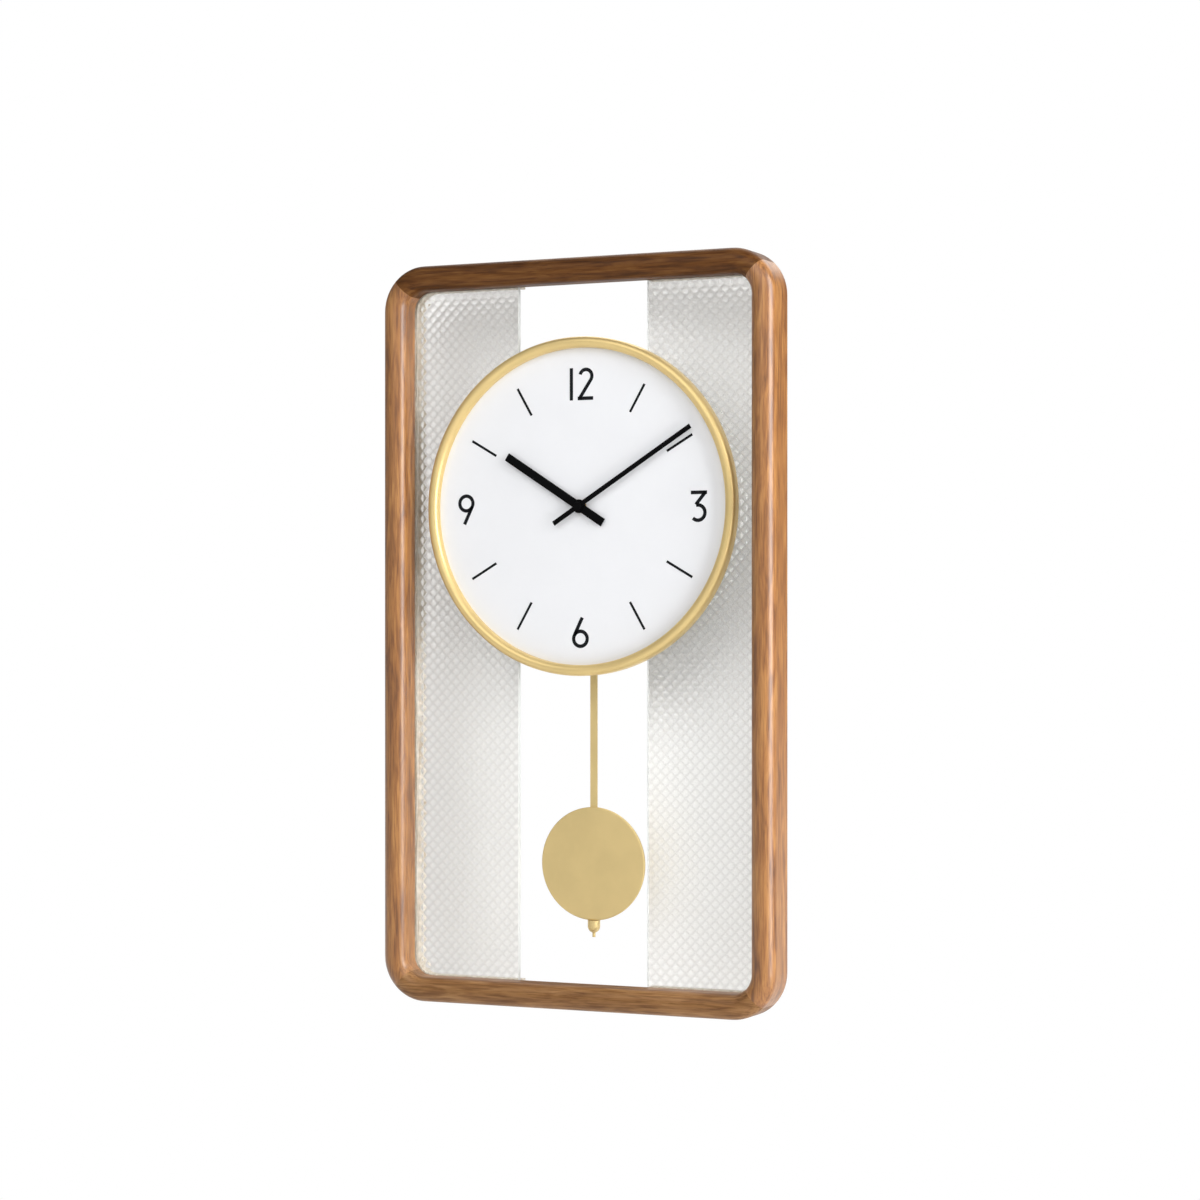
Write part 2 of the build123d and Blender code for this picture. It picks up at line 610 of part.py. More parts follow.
with BuildPart() as dial_ring:
    with BuildSketch(Plane.XY.offset(Z_DIAL)) as ring_profile:
        with BuildLine():
            ring_inner = RING_RADIUS - RING_FACE
            ring_seat = DIAL_RADIUS + RING_PLAY
            bead_y = Y_GLASS_FRONT - RING_DEPTH + RING_FACE / 2
            CenterArc((RING_RADIUS - RING_FACE / 2, bead_y), RING_FACE / 2, 180, 180)
            Polyline((RING_RADIUS, bead_y), (RING_RADIUS, Y_GLASS_FRONT), (ring_seat, Y_GLASS_FRONT),
                     (ring_seat, Y_DIAL_FACE), (ring_inner, Y_DIAL_FACE), (ring_inner, bead_y))
        make_face()
    revolve(axis=Axis((0, 0, Z_DIAL), (0, 1, 0)))
dial_ring.part.label = "dial_ring"
export_step(dial_ring.part, "parts/dial_ring.step")

with BuildPart() as dial_studs:
    for stud in STUD_CENTRES:
        disc(stud, STUD_RADIUS, Y_GLASS_FRONT, Y_CASE_SEAT + STUD_NUT_HEIGHT + STUD_OVERHANG)
dial_studs.part.label = "dial_studs"
export_step(dial_studs.part, "parts/dial_studs.step")

with BuildPart() as glass_grommets:
    for stud in STUD_CENTRES:
        sleeve_bore = STUD_RADIUS + GROMMET_PLAY
        disc(stud, sleeve_bore + GROMMET_WALL, Y_GLASS_FRONT, Y_GLASS_BACK, bore=sleeve_bore)
        disc(stud, GROMMET_FLANGE_RADIUS, Y_GLASS_BACK, Y_CASE_FRONT, bore=sleeve_bore)
glass_grommets.part.label = "glass_grommets"
export_step(glass_grommets.part, "parts/glass_grommets.step")

with BuildPart() as stud_nuts:
    for stud in STUD_CENTRES:
        hexagon(stud, STUD_NUT_ACROSS, STUD_RADIUS + SCREW_PLAY, Y_CASE_SEAT, Y_CASE_SEAT + STUD_NUT_HEIGHT)
stud_nuts.part.label = "stud_nuts"
export_step(stud_nuts.part, "parts/stud_nuts.step")

# Rear case: a turned cup with a flange on the glass side and a lip on the wall side
with BuildPart() as rear_case:
    with BuildSketch(Plane.XY.offset(Z_DIAL)) as case_profile:
        with BuildLine():
            Polyline((FLANGE_BORE, Y_CASE_FRONT), (CASE_RADIUS, Y_CASE_FRONT),
                     (CASE_RADIUS, 0), (CASE_RADIUS - CASE_LIP_WIDTH, 0),
                     (CASE_RADIUS - CASE_LIP_WIDTH, -CASE_LIP), (CASE_RADIUS - CASE_WALL, -CASE_LIP),
                     (CASE_RADIUS - CASE_WALL, Y_CASE_SEAT),
                     (FLANGE_BORE, Y_CASE_SEAT), close=True)
        make_face()
        front_edge = case_profile.vertices().group_by(Axis.Y)[0].sort_by(Axis.X)[-1]
        fillet(front_edge, CASE_EDGE_RADIUS)
    revolve(axis=Axis((0, 0, Z_DIAL), (0, 1, 0)))
    for post_side in SIDES:
        disc((post_side * HANGER_POST_SPREAD, 0), HANGER_POST_RADIUS, Y_CASE_SEAT, -HANGER_THICKNESS)
        rib_length = CASE_RADIUS - CASE_WALL / 2 - HANGER_POST_CIRCLE
        rib_angle = Vector(post_side * HANGER_POST_SPREAD, HANGER_RISE).get_angle(Vector(1, 0))
        rib_middle = polar(CENTRE_AXIS, HANGER_POST_CIRCLE + rib_length / 2, rib_angle)
        with BuildSketch(facing(rib_middle[0], -CASE_LIP, rib_middle[1])) as rib:
            Rectangle(rib_length, HANGER_RIB, rotation=rib_angle)
        extrude(rib.sketch, amount=-CASE_LIP - Y_CASE_SEAT)
        disc((post_side * HANGER_POST_SPREAD, 0), HANGER_SCREW_RADIUS + SCREW_PLAY,
             -HANGER_SCREW_LENGTH - SCREW_PLAY, -HANGER_THICKNESS, mode=Mode.SUBTRACT)
    for stud in STUD_CENTRES:
        disc(stud, STUD_RADIUS + STUD_HOLE_PLAY, Y_CASE_FRONT, Y_CASE_SEAT, mode=Mode.SUBTRACT)
    rod_middle = Y_ROD + ROD_THICKNESS / 2
    block(-ROD_SLOT_WIDTH / 2, ROD_SLOT_WIDTH / 2, Z_DIAL - CASE_RADIUS - CASE_WALL,
          Z_DIAL - CASE_RADIUS + CASE_LIP_WIDTH, rod_middle - ROD_SLOT_DEPTH / 2,
          rod_middle + ROD_SLOT_DEPTH / 2, mode=Mode.SUBTRACT)
rear_case.part.label = "rear_case"
export_step(rear_case.part, "parts/rear_case.step")

# Hanger plate: the clock drops onto a wall screw through its keyhole
with BuildPart() as hanger_plate:
    with BuildSketch(facing(0, 0, 0)) as plate_outline:
        SlotOverall(HANGER_LENGTH, HANGER_HEIGHT)
        Circle(KEYHOLE_RADIUS, mode=Mode.SUBTRACT)
        with Locations((0, KEYHOLE_SLOT_RISE / 2)):
            SlotCenterToCenter(KEYHOLE_SLOT_RISE, KEYHOLE_SLOT_WIDTH, rotation=90, mode=Mode.SUBTRACT)
    extrude(amount=HANGER_THICKNESS)
    for post_side in SIDES:
        with Locations(Plane(origin=(post_side * HANGER_POST_SPREAD, 0, 0), x_dir=(1, 0, 0), z_dir=(0, 1, 0))):
            CounterSinkHole(HANGER_SCREW_RADIUS + SCREW_PLAY, HANGER_SCREW_HEAD_RADIUS + SCREW_PLAY)
hanger_plate.part.label = "hanger_plate"
export_step(hanger_plate.part, "parts/hanger_plate.step")

with BuildPart() as hanger_screws:
    for post_side in SIDES:
        neck = HANGER_SCREW_HEAD_RADIUS - HANGER_SCREW_RADIUS
        turned(post_side * HANGER_POST_SPREAD, 0,
               [(0, 0), (HANGER_SCREW_HEAD_RADIUS, 0), (HANGER_SCREW_RADIUS, -neck),
                (HANGER_SCREW_RADIUS, -HANGER_SCREW_LENGTH), (0, -HANGER_SCREW_LENGTH)])
hanger_screws.part.label = "hanger_screws"
export_step(hanger_screws.part, "parts/hanger_screws.step")

# Movement housing: a deep front shell and a back cover that holds the battery tray
with BuildPart() as movement_front:
    with BuildSketch(facing(0, Y_COVER, Z_HOUSING_MIDDLE)) as housing_outline:
        RectangleRounded(HOUSING_WIDTH, HOUSING_TOP - HOUSING_BOTTOM, HOUSING_CORNER)
    extrude(amount=Y_COVER - Y_HOUSING_FRONT)
    with BuildSketch(facing(0, Y_COVER, Z_HOUSING_MIDDLE)) as housing_inside:
        RectangleRounded(HOUSING_WIDTH - 2 * HOUSING_WALL, HOUSING_TOP - HOUSING_BOTTOM - 2 * HOUSING_WALL,
                         HOUSING_CORNER - HOUSING_WALL)
    extrude(amount=Y_COVER - Y_WORKS, mode=Mode.SUBTRACT)
    for ear_side in SIDES:
        ear_edges = sorted([ear_side * HOUSING_WIDTH / 2, ear_side * (HOUSING_WIDTH / 2 + EAR_REACH)])
        block(ear_edges[0], ear_edges[1], Z_DIAL - EAR_HEIGHT / 2, Z_DIAL + EAR_HEIGHT / 2,
              Y_HOUSING_FRONT, Y_HOUSING_FRONT + EAR_THICKNESS)
        disc((ear_side * EAR_X, Z_DIAL), EAR_STUD_RADIUS + STUD_HOLE_PLAY, Y_HOUSING_FRONT,
             Y_HOUSING_FRONT + EAR_THICKNESS, mode=Mode.SUBTRACT)
    disc(CENTRE_AXIS, BUSH_RADIUS + SCREW_PLAY, Y_HOUSING_FRONT, Y_WORKS, mode=Mode.SUBTRACT)
    disc(CENTRE_AXIS, BUSH_FLANGE_RADIUS + SCREW_PLAY, Y_WORKS - BUSH_FLANGE, Y_WORKS, mode=Mode.SUBTRACT)
    disc(MINUTE_WHEEL_AXIS, MINUTE_POST_RADIUS, Y_WORKS, LAYERS[1] + FACE_WIDTH)
    disc(ROTOR_AXIS, ROTOR_COLUMN_RADIUS, Y_WORKS, LAYERS[5] - LAYER_GAP)
    disc(PENDULUM_AXIS, PIN_COLUMN_RADIUS, Y_WORKS, Y_LEVER - LEVER_PLAY)
    pivot_hole = PIVOT_DEPTH + PIVOT_END_PLAY
    for arbor_axis in (THIRD_AXIS, INTERMEDIATE_AXIS):
        disc(arbor_axis, ARBOR_RADIUS + PIVOT_PLAY, Y_WORKS - pivot_hole, Y_WORKS, mode=Mode.SUBTRACT)
    disc(ROTOR_AXIS, ARBOR_RADIUS + PIVOT_PLAY, LAYERS[5] - LAYER_GAP - pivot_hole, LAYERS[5] - LAYER_GAP,
         mode=Mode.SUBTRACT)
    disc(SETTING_AXIS, SETTING_PIVOT_RADIUS + PIVOT_PLAY, Y_WORKS - pivot_hole, Y_WORKS, mode=Mode.SUBTRACT)
    disc(PENDULUM_AXIS, PIN_RADIUS + SCREW_PLAY, Y_WORKS - PIVOT_DEPTH, Y_LEVER - LEVER_PLAY,
         mode=Mode.SUBTRACT)
    lever_middle = Y_LEVER + LEVER_THICKNESS / 2
    block(-LEVER_SLOT_WIDTH / 2, LEVER_SLOT_WIDTH / 2, Z_DIAL + HOUSING_BOTTOM - HOUSING_WALL,
          Z_DIAL + HOUSING_BOTTOM + 2 * HOUSING_WALL, lever_middle - LEVER_SLOT_DEPTH / 2,
          lever_middle + LEVER_SLOT_DEPTH / 2, mode=Mode.SUBTRACT)
movement_front.part.label = "movement_front"
export_step(movement_front.part, "parts/movement_front.step")

STATOR_LEG_X = [ROTOR_AXIS[0] + side * STATOR_LEG_SPREAD / 2 for side in SIDES]
BOARD_POST_X = [BOARD_LEFT + BOARD_POST_INSET, BOARD_LEFT + BOARD_WIDTH - BOARD_POST_INSET]
Y_BOARD = Y_COVER - BOARD_THICKNESS - BOARD_POST_LENGTH
Z_BOARD = Z_DIAL + BOARD_RISE

with BuildPart() as movement_back:
    with BuildSketch(facing(0, Y_HOUSING_BACK, Z_HOUSING_MIDDLE)) as cover_outline:
        RectangleRounded(HOUSING_WIDTH, HOUSING_TOP - HOUSING_BOTTOM, HOUSING_CORNER)
    extrude(amount=HOUSING_WALL)
    block(-TRAY_HALF, TRAY_HALF, Z_BATTERY - TRAY_HEIGHT / 2, Z_BATTERY + TRAY_HEIGHT / 2, Y_TRAY, Y_COVER)
    block(-TRAY_HALF + TRAY_WALL, TRAY_HALF - TRAY_WALL, Z_BATTERY - TRAY_HEIGHT / 2 + TRAY_WALL,
          Z_BATTERY + TRAY_HEIGHT / 2 - TRAY_WALL, Y_TRAY + TRAY_WALL, Y_HOUSING_BACK, mode=Mode.SUBTRACT)
    for leg_x in STATOR_LEG_X:
        disc((leg_x, COIL_AXIS_Z), MOTOR_POST_RADIUS, Y_CORE + STATOR_THICKNESS, Y_COVER)
    for post_x in BOARD_POST_X:
        disc((post_x, Z_BOARD), MOTOR_POST_RADIUS, Y_BOARD + BOARD_THICKNESS, Y_COVER)
    for arbor_axis in (CENTRE_AXIS, THIRD_AXIS, INTERMEDIATE_AXIS, ROTOR_AXIS):
        disc(arbor_axis, ARBOR_RADIUS + PIVOT_PLAY, Y_COVER, Y_COVER + pivot_hole, mode=Mode.SUBTRACT)
    disc(SETTING_AXIS, SETTING_SHAFT_RADIUS + RUNNING_PLAY, Y_COVER, Y_HOUSING_BACK, mode=Mode.SUBTRACT)
    disc(PENDULUM_AXIS, PIN_RADIUS + SCREW_PLAY, Y_COVER, Y_COVER + PIVOT_DEPTH, mode=Mode.SUBTRACT)
movement_back.part.label = "movement_back"
export_step(movement_back.part, "parts/movement_back.step")

with BuildPart() as movement_gasket:
    gasket_bore = BUSH_RADIUS + DIAL_BORE_PLAY
    disc(CENTRE_AXIS, gasket_bore + GASKET_WIDTH, Y_GLASS_FRONT, Y_HOUSING_FRONT, bore=gasket_bore)
movement_gasket.part.label = "movement_gasket"
export_step(movement_gasket.part, "parts/movement_gasket.step")

with BuildPart() as shaft_bush:
    disc(CENTRE_AXIS, BUSH_RADIUS, Y_DIAL_FACE - BUSH_PROUD, Y_WORKS, bore=BUSH_BORE)
    disc(CENTRE_AXIS, BUSH_FLANGE_RADIUS, Y_WORKS - BUSH_FLANGE, Y_WORKS, bore=BUSH_BORE)
shaft_bush.part.label = "shaft_bush"
export_step(shaft_bush.part, "parts/shaft_bush.step")

Y_EAR_SEAT = Y_HOUSING_FRONT + EAR_THICKNESS
with BuildPart() as movement_studs:
    for ear_side in SIDES:
        disc((ear_side * EAR_X, Z_DIAL), EAR_STUD_RADIUS, Y_GLASS_FRONT,
             Y_EAR_SEAT + EAR_NUT_HEIGHT + EAR_STUD_OVERHANG)
movement_studs.part.label = "movement_studs"
export_step(movement_studs.part, "parts/movement_studs.step")

with BuildPart() as movement_nuts:
    for ear_side in SIDES:
        hexagon((ear_side * EAR_X, Z_DIAL), EAR_NUT_ACROSS, EAR_STUD_RADIUS + SCREW_PLAY, Y_EAR_SEAT,
                Y_EAR_SEAT + EAR_NUT_HEIGHT)
movement_nuts.part.label = "movement_nuts"
export_step(movement_nuts.part, "parts/movement_nuts.step")

# Motion work
Y_HOUR_TUBE_END = Y_HOUR_HAND - HOUR_THICKNESS
Y_MINUTE_END = Y_MINUTE_HAND - MINUTE_THICKNESS
Y_ARBOR_BACK = LAYERS[2] + FACE_WIDTH + ARBOR_FLANGE

with BuildPart() as hour_wheel:
    toothed_wheel(CENTRE_AXIS, HOUR_WHEEL_TEETH, HOUR_MODULE, WHEEL_ADDENDUM, HOUR_WHEEL_PHASE, LAYERS[0])
    disc(CENTRE_AXIS, HOUR_TUBE_RADIUS, Y_HOUR_TUBE_END, LAYERS[0])
    disc(CENTRE_AXIS, HOUR_TUBE_BORE, Y_HOUR_TUBE_END, LAYERS[0] + FACE_WIDTH, mode=Mode.SUBTRACT)
hour_wheel.part.label = "hour_wheel"
export_step(hour_wheel.part, "parts/hour_wheel.step")

with BuildPart() as minute_arbor:
    toothed_wheel(CENTRE_AXIS, MINUTE_PINION_TEETH, MINUTE_MODULE, PINION_ADDENDUM, MINUTE_PINION_PHASE,
                  LAYERS[1])
    disc(CENTRE_AXIS, MINUTE_ARBOR_RADIUS, Y_MINUTE_END, Y_ARBOR_BACK)
    disc(CENTRE_AXIS, ARBOR_FLANGE_RADIUS, Y_ARBOR_BACK - ARBOR_FLANGE, Y_ARBOR_BACK)
    disc(CENTRE_AXIS, MINUTE_ARBOR_BORE, Y_MINUTE_END, Y_ARBOR_BACK, mode=Mode.SUBTRACT)
minute_arbor.part.label = "minute_arbor"
export_step(minute_arbor.part, "parts/minute_arbor.step")

with BuildPart() as clutch_spring:
    spring_bore = MINUTE_ARBOR_RADIUS + HAND_PLAY
    spring_front = LAYERS[1] + FACE_WIDTH + (LAYER_GAP - CLUTCH_SPRING_THICKNESS) / 2
    disc(CENTRE_AXIS, spring_bore + CLUTCH_SPRING_WIDTH, spring_front,
         spring_front + CLUTCH_SPRING_THICKNESS, bore=spring_bore)
clutch_spring.part.label = "clutch_spring"
export_step(clutch_spring.part, "parts/clutch_spring.step")

with BuildPart() as minute_wheel:
    toothed_wheel(MINUTE_WHEEL_AXIS, MINUTE_WHEEL_TEETH, MINUTE_MODULE, WHEEL_ADDENDUM, MINUTE_WHEEL_PHASE,
                  LAYERS[1])
    toothed_wheel(MINUTE_WHEEL_AXIS, MINUTE_WHEEL_PINION_TEETH, HOUR_MODULE, PINION_ADDENDUM, MOTION_ANGLE,
                  LAYERS[0])
    pinion_root = HOUR_MODULE * (MINUTE_WHEEL_PINION_TEETH / 2 - DEDENDUM)
    disc(MINUTE_WHEEL_AXIS, pinion_root, LAYERS[0], LAYERS[1])
    disc(MINUTE_WHEEL_AXIS, MINUTE_POST_RADIUS + RUNNING_PLAY, LAYERS[0], LAYERS[1] + FACE_WIDTH,
         mode=Mode.SUBTRACT)
minute_wheel.part.label = "minute_wheel"
export_step(minute_wheel.part, "parts/minute_wheel.step")

Y_KNOB = Y_HOUSING_BACK + KNOB_GAP
with BuildPart() as setting_knob:
    toothed_wheel(SETTING_AXIS, SETTING_TEETH, MINUTE_MODULE, PINION_ADDENDUM, SETTING_PHASE, LAYERS[1])
    disc(SETTING_AXIS, SETTING_PIVOT_RADIUS, Y_WORKS - PIVOT_DEPTH, LAYERS[1])
    disc(SETTING_AXIS, SETTING_SHAFT_RADIUS, LAYERS[1] + FACE_WIDTH, Y_KNOB)
    with BuildSketch(facing(SETTING_AXIS[0], Y_KNOB + KNOB_HEIGHT, SETTING_AXIS[1])) as knob_outline:
        Circle(KNOB_RADIUS)
        with PolarLocations(KNOB_RADIUS, KNOB_FLUTES):
            Circle(KNOB_FLUTE_RADIUS, mode=Mode.SUBTRACT)
    extrude(amount=KNOB_HEIGHT)
setting_knob.part.label = "setting_knob"
export_step(setting_knob.part, "parts/setting_knob.step")

# Going train
Y_BACK_PIVOT = Y_COVER + PIVOT_DEPTH

with BuildPart() as centre_wheel:
    toothed_wheel(CENTRE_AXIS, CENTRE_TEETH, CENTRE_MODULE, WHEEL_ADDENDUM, CENTRE_PHASE, LAYERS[2])
    disc(CENTRE_AXIS, MINUTE_ARBOR_RADIUS + PIVOT_PLAY, LAYERS[2], LAYERS[2] + FACE_WIDTH, mode=Mode.SUBTRACT)
centre_wheel.part.label = "centre_wheel"
export_step(centre_wheel.part, "parts/centre_wheel.step")

with BuildPart() as third_wheel:
    toothed_wheel(THIRD_AXIS, THIRD_PINION_TEETH, CENTRE_MODULE, PINION_ADDENDUM, THIRD_ANGLE, LAYERS[2])
    toothed_wheel(THIRD_AXIS, THIRD_TEETH, THIRD_MODULE, WHEEL_ADDENDUM, THIRD_PHASE, LAYERS[3])
    disc(THIRD_AXIS, ARBOR_RADIUS, Y_WORKS - PIVOT_DEPTH, Y_BACK_PIVOT)
third_wheel.part.label = "third_wheel"
export_step(third_wheel.part, "parts/third_wheel.step")

with BuildPart() as second_wheel:
    toothed_wheel(CENTRE_AXIS, SECOND_PINION_TEETH, THIRD_MODULE, PINION_ADDENDUM, THIRD_ANGLE, LAYERS[3])
    toothed_wheel(CENTRE_AXIS, SECOND_TEETH, SECOND_MODULE, WHEEL_ADDENDUM, SECOND_PHASE, LAYERS[4])
    disc(CENTRE_AXIS, ARBOR_RADIUS, LAYERS[0], Y_BACK_PIVOT)
second_wheel.part.label = "second_wheel"
export_step(second_wheel.part, "parts/second_wheel.step")

with BuildPart() as intermediate_wheel:
    toothed_wheel(INTERMEDIATE_AXIS, INTERMEDIATE_PINION_TEETH, SECOND_MODULE, PINION_ADDENDUM,
                  INTERMEDIATE_ANGLE, LAYERS[4])
    toothed_wheel(INTERMEDIATE_AXIS, INTERMEDIATE_TEETH, ROTOR_MODULE, WHEEL_ADDENDUM, INTERMEDIATE_PHASE,
                  LAYERS[5])
    disc(INTERMEDIATE_AXIS, ARBOR_RADIUS, Y_WORKS - PIVOT_DEPTH, Y_BACK_PIVOT)
intermediate_wheel.part.label = "intermediate_wheel"
export_step(intermediate_wheel.part, "parts/intermediate_wheel.step")

with BuildPart() as rotor:
    toothed_wheel(ROTOR_AXIS, ROTOR_TEETH, ROTOR_MODULE, PINION_ADDENDUM, ROTOR_ANGLE, LAYERS[5])
    disc(ROTOR_AXIS, ARBOR_RADIUS, LAYERS[5] - LAYER_GAP - PIVOT_DEPTH, Y_BACK_PIVOT)
    disc(ROTOR_AXIS, ROTOR_MAGNET_RADIUS, Y_ROTOR_MAGNET, Y_ROTOR_MAGNET + ROTOR_MAGNET_LENGTH)
rotor.part.label = "rotor"
export_step(rotor.part, "parts/rotor.step")

# Stepping motor
with BuildPart() as stator:
    pole_half = (STATOR_LEG_SPREAD + STATOR_LEG_WIDTH) / 2
    block(ROTOR_AXIS[0] - pole_half, ROTOR_AXIS[0] + pole_half, ROTOR_AXIS[1] - STATOR_POLE_HEIGHT / 2,
          ROTOR_AXIS[1] + STATOR_POLE_HEIGHT / 2, Y_STATOR, Y_CORE)
    for leg_x in STATOR_LEG_X:
        block(leg_x - STATOR_LEG_WIDTH / 2, leg_x + STATOR_LEG_WIDTH / 2, ROTOR_AXIS[1],
              ROTOR_AXIS[1] + STATOR_LEG_RISE, Y_STATOR, Y_CORE)
    disc(ROTOR_AXIS, ROTOR_MAGNET_RADIUS + STATOR_AIR_GAP, Y_STATOR, Y_CORE, mode=Mode.SUBTRACT)
stator.part.label = "stator"
export_step(stator.part, "parts/stator.step")

with BuildPart() as coil_core:
    block(ROTOR_AXIS[0] - pole_half, ROTOR_AXIS[0] + pole_half, COIL_AXIS_Z - STATOR_LEG_WIDTH / 2,
          COIL_AXIS_Z + STATOR_LEG_WIDTH / 2, Y_CORE, Y_CORE + STATOR_THICKNESS)
coil_core.part.label = "coil_core"
export_step(coil_core.part, "parts/coil_core.step")

COIL_PLANE = Plane(origin=(ROTOR_AXIS[0], Y_CORE + STATOR_THICKNESS / 2, COIL_AXIS_Z),
                   x_dir=(0, 0, 1), z_dir=(1, 0, 0))
BOBBIN_HEIGHT = STATOR_LEG_WIDTH + 2 * COIL_PLAY + 2 * BOBBIN_WALL
BOBBIN_DEPTH = STATOR_THICKNESS + 2 * COIL_PLAY + 2 * BOBBIN_WALL

with BuildPart() as coil_bobbin:
    with BuildSketch(COIL_PLANE) as bobbin_tube:
        Rectangle(BOBBIN_HEIGHT, BOBBIN_DEPTH)
    extrude(amount=COIL_LENGTH / 2, both=True)
    for end_side in SIDES:
        with BuildSketch(COIL_PLANE.offset(end_side * (COIL_LENGTH - BOBBIN_FLANGE) / 2)) as bobbin_end:
            Circle(COIL_RADIUS)
        extrude(amount=BOBBIN_FLANGE / 2, both=True)
    with BuildSketch(COIL_PLANE) as bobbin_bore:
        Rectangle(STATOR_LEG_WIDTH + 2 * COIL_PLAY, STATOR_THICKNESS + 2 * COIL_PLAY)
    extrude(amount=COIL_LENGTH / 2, both=True, mode=Mode.SUBTRACT)
coil_bobbin.part.label = "coil_bobbin"
export_step(coil_bobbin.part, "parts/coil_bobbin.step")

with BuildPart() as coil_winding:
    with BuildSketch(COIL_PLANE) as winding_section:
        Circle(COIL_RADIUS - BOBBIN_WALL / 2)
        Rectangle(BOBBIN_HEIGHT + 2 * COIL_PLAY, BOBBIN_DEPTH + 2 * COIL_PLAY, mode=Mode.SUBTRACT)
    extrude(amount=COIL_LENGTH / 2 - BOBBIN_FLANGE - COIL_PLAY, both=True)
coil_winding.part.label = "coil_winding"
export_step(coil_winding.part, "parts/coil_winding.step")

with BuildPart() as circuit_board:
    block(BOARD_LEFT, BOARD_LEFT + BOARD_WIDTH, Z_BOARD - BOARD_HEIGHT / 2, Z_BOARD + BOARD_HEIGHT / 2,
          Y_BOARD, Y_BOARD + BOARD_THICKNESS)
circuit_board.part.label = "circuit_board"
export_step(circuit_board.part, "parts/circuit_board.step")

# Battery, lying across the tray, and the strips at its two ends
with BuildPart() as battery:
    turned(BATTERY_END, Z_BATTERY,
           [(0, BATTERY_NUB_LENGTH), (BATTERY_NUB_RADIUS, BATTERY_NUB_LENGTH), (BATTERY_NUB_RADIUS, 0),
            (BATTERY_RADIUS, 0), (BATTERY_RADIUS, -BATTERY_LENGTH), (0, -BATTERY_LENGTH)],
           direction=(1, 0, 0), origin_y=Y_BATTERY)
battery.part.label = "battery"
export_step(battery.part, "parts/battery.step")

with BuildPart() as battery_contact_positive:
    block(CONTACT_WALL - CONTACT_THICKNESS, CONTACT_WALL, Z_BATTERY - CONTACT_WIDTH / 2,
          Z_BATTERY + CONTACT_WIDTH / 2, Y_BATTERY - CONTACT_WIDTH / 2, Y_BATTERY + CONTACT_WIDTH / 2)
battery_contact_positive.part.label = "battery_contact_positive"
export_step(battery_contact_positive.part, "parts/battery_contact_positive.step")

# The negative strip is bowed, and its middle touches the battery
with BuildPart() as battery_contact_negative:
    with BuildSketch(Plane.XY.offset(Z_BATTERY - CONTACT_WIDTH / 2)) as bow_outline:
        with BuildLine():
            bow_ends = [(-CONTACT_WALL, Y_BATTERY + end * CONTACT_WIDTH / 2) for end in SIDES]
            bow_back = ThreePointArc(bow_ends[0], (-CONTACT_WALL + CONTACT_BOW, Y_BATTERY), bow_ends[1])
            bow_tips = [(-CONTACT_WALL + CONTACT_THICKNESS, y) for x, y in bow_ends]
            bow_top = (-CONTACT_WALL + CONTACT_BOW + CONTACT_THICKNESS, Y_BATTERY)
            Line(bow_ends[1], bow_tips[1])
            ThreePointArc(bow_tips[1], bow_top, bow_tips[0])
            Line(bow_tips[0], bow_ends[0])
        make_face()
    extrude(amount=CONTACT_WIDTH)
battery_contact_negative.part.label = "battery_contact_negative"
export_step(battery_contact_negative.part, "parts/battery_contact_negative.step")

# Pendulum drive
with BuildPart() as pendulum_pin:
    disc(PENDULUM_AXIS, PIN_RADIUS, Y_WORKS - PIVOT_DEPTH, Y_BACK_PIVOT)
pendulum_pin.part.label = "pendulum_pin"
export_step(pendulum_pin.part, "parts/pendulum_pin.step")

with BuildPart() as drive_coil:
    disc((0, Z_MAGNET), DRIVE_COIL_RADIUS, Y_WORKS, Y_LEVER - MAGNET_LENGTH - DRIVE_COIL_GAP,
         bore=DRIVE_COIL_BORE)
drive_coil.part.label = "drive_coil"
export_step(drive_coil.part, "parts/drive_coil.step")

with BuildPart() as pendulum_lever:
    with BuildSketch(facing(0, Y_LEVER + LEVER_THICKNESS, Z_PIVOT)) as lever_outline:
        Circle(LEVER_HUB_RADIUS)
        with Locations((0, -HOOK_DROP / 2)):
            Rectangle(LEVER_WIDTH, HOOK_DROP)
        with Locations((0, -HOOK_DROP)):
            Circle(LEVER_WIDTH / 2)
        with Locations((0, -MAGNET_DROP)):
            Circle(MAGNET_RADIUS)
    extrude(amount=LEVER_THICKNESS)
    disc(PENDULUM_AXIS, LEVER_HUB_RADIUS, Y_LEVER, Y_COVER - LEVER_PLAY)
    disc(PENDULUM_AXIS, PIN_RADIUS + RUNNING_PLAY, Y_LEVER, Y_COVER - LEVER_PLAY, mode=Mode.SUBTRACT)
    hook_axis = (0, Z_HOOK)
    hook_end = Y_ROD + ROD_THICKNESS + ROD_PLAY
    disc(hook_axis, HOOK_COLLAR_RADIUS, Y_LEVER + LEVER_THICKNESS, Y_ROD - ROD_PLAY)
    disc(hook_axis, HOOK_RADIUS, Y_ROD - ROD_PLAY, hook_end)
    disc(hook_axis, HOOK_HEAD_RADIUS, hook_end, hook_end + HOOK_HEAD)
pendulum_lever.part.label = "pendulum_lever"
export_step(pendulum_lever.part, "parts/pendulum_lever.step")

with BuildPart() as lever_magnet:
    disc((0, Z_MAGNET), MAGNET_RADIUS, Y_LEVER - MAGNET_LENGTH, Y_LEVER)
lever_magnet.part.label = "lever_magnet"
export_step(lever_magnet.part, "parts/lever_magnet.step")

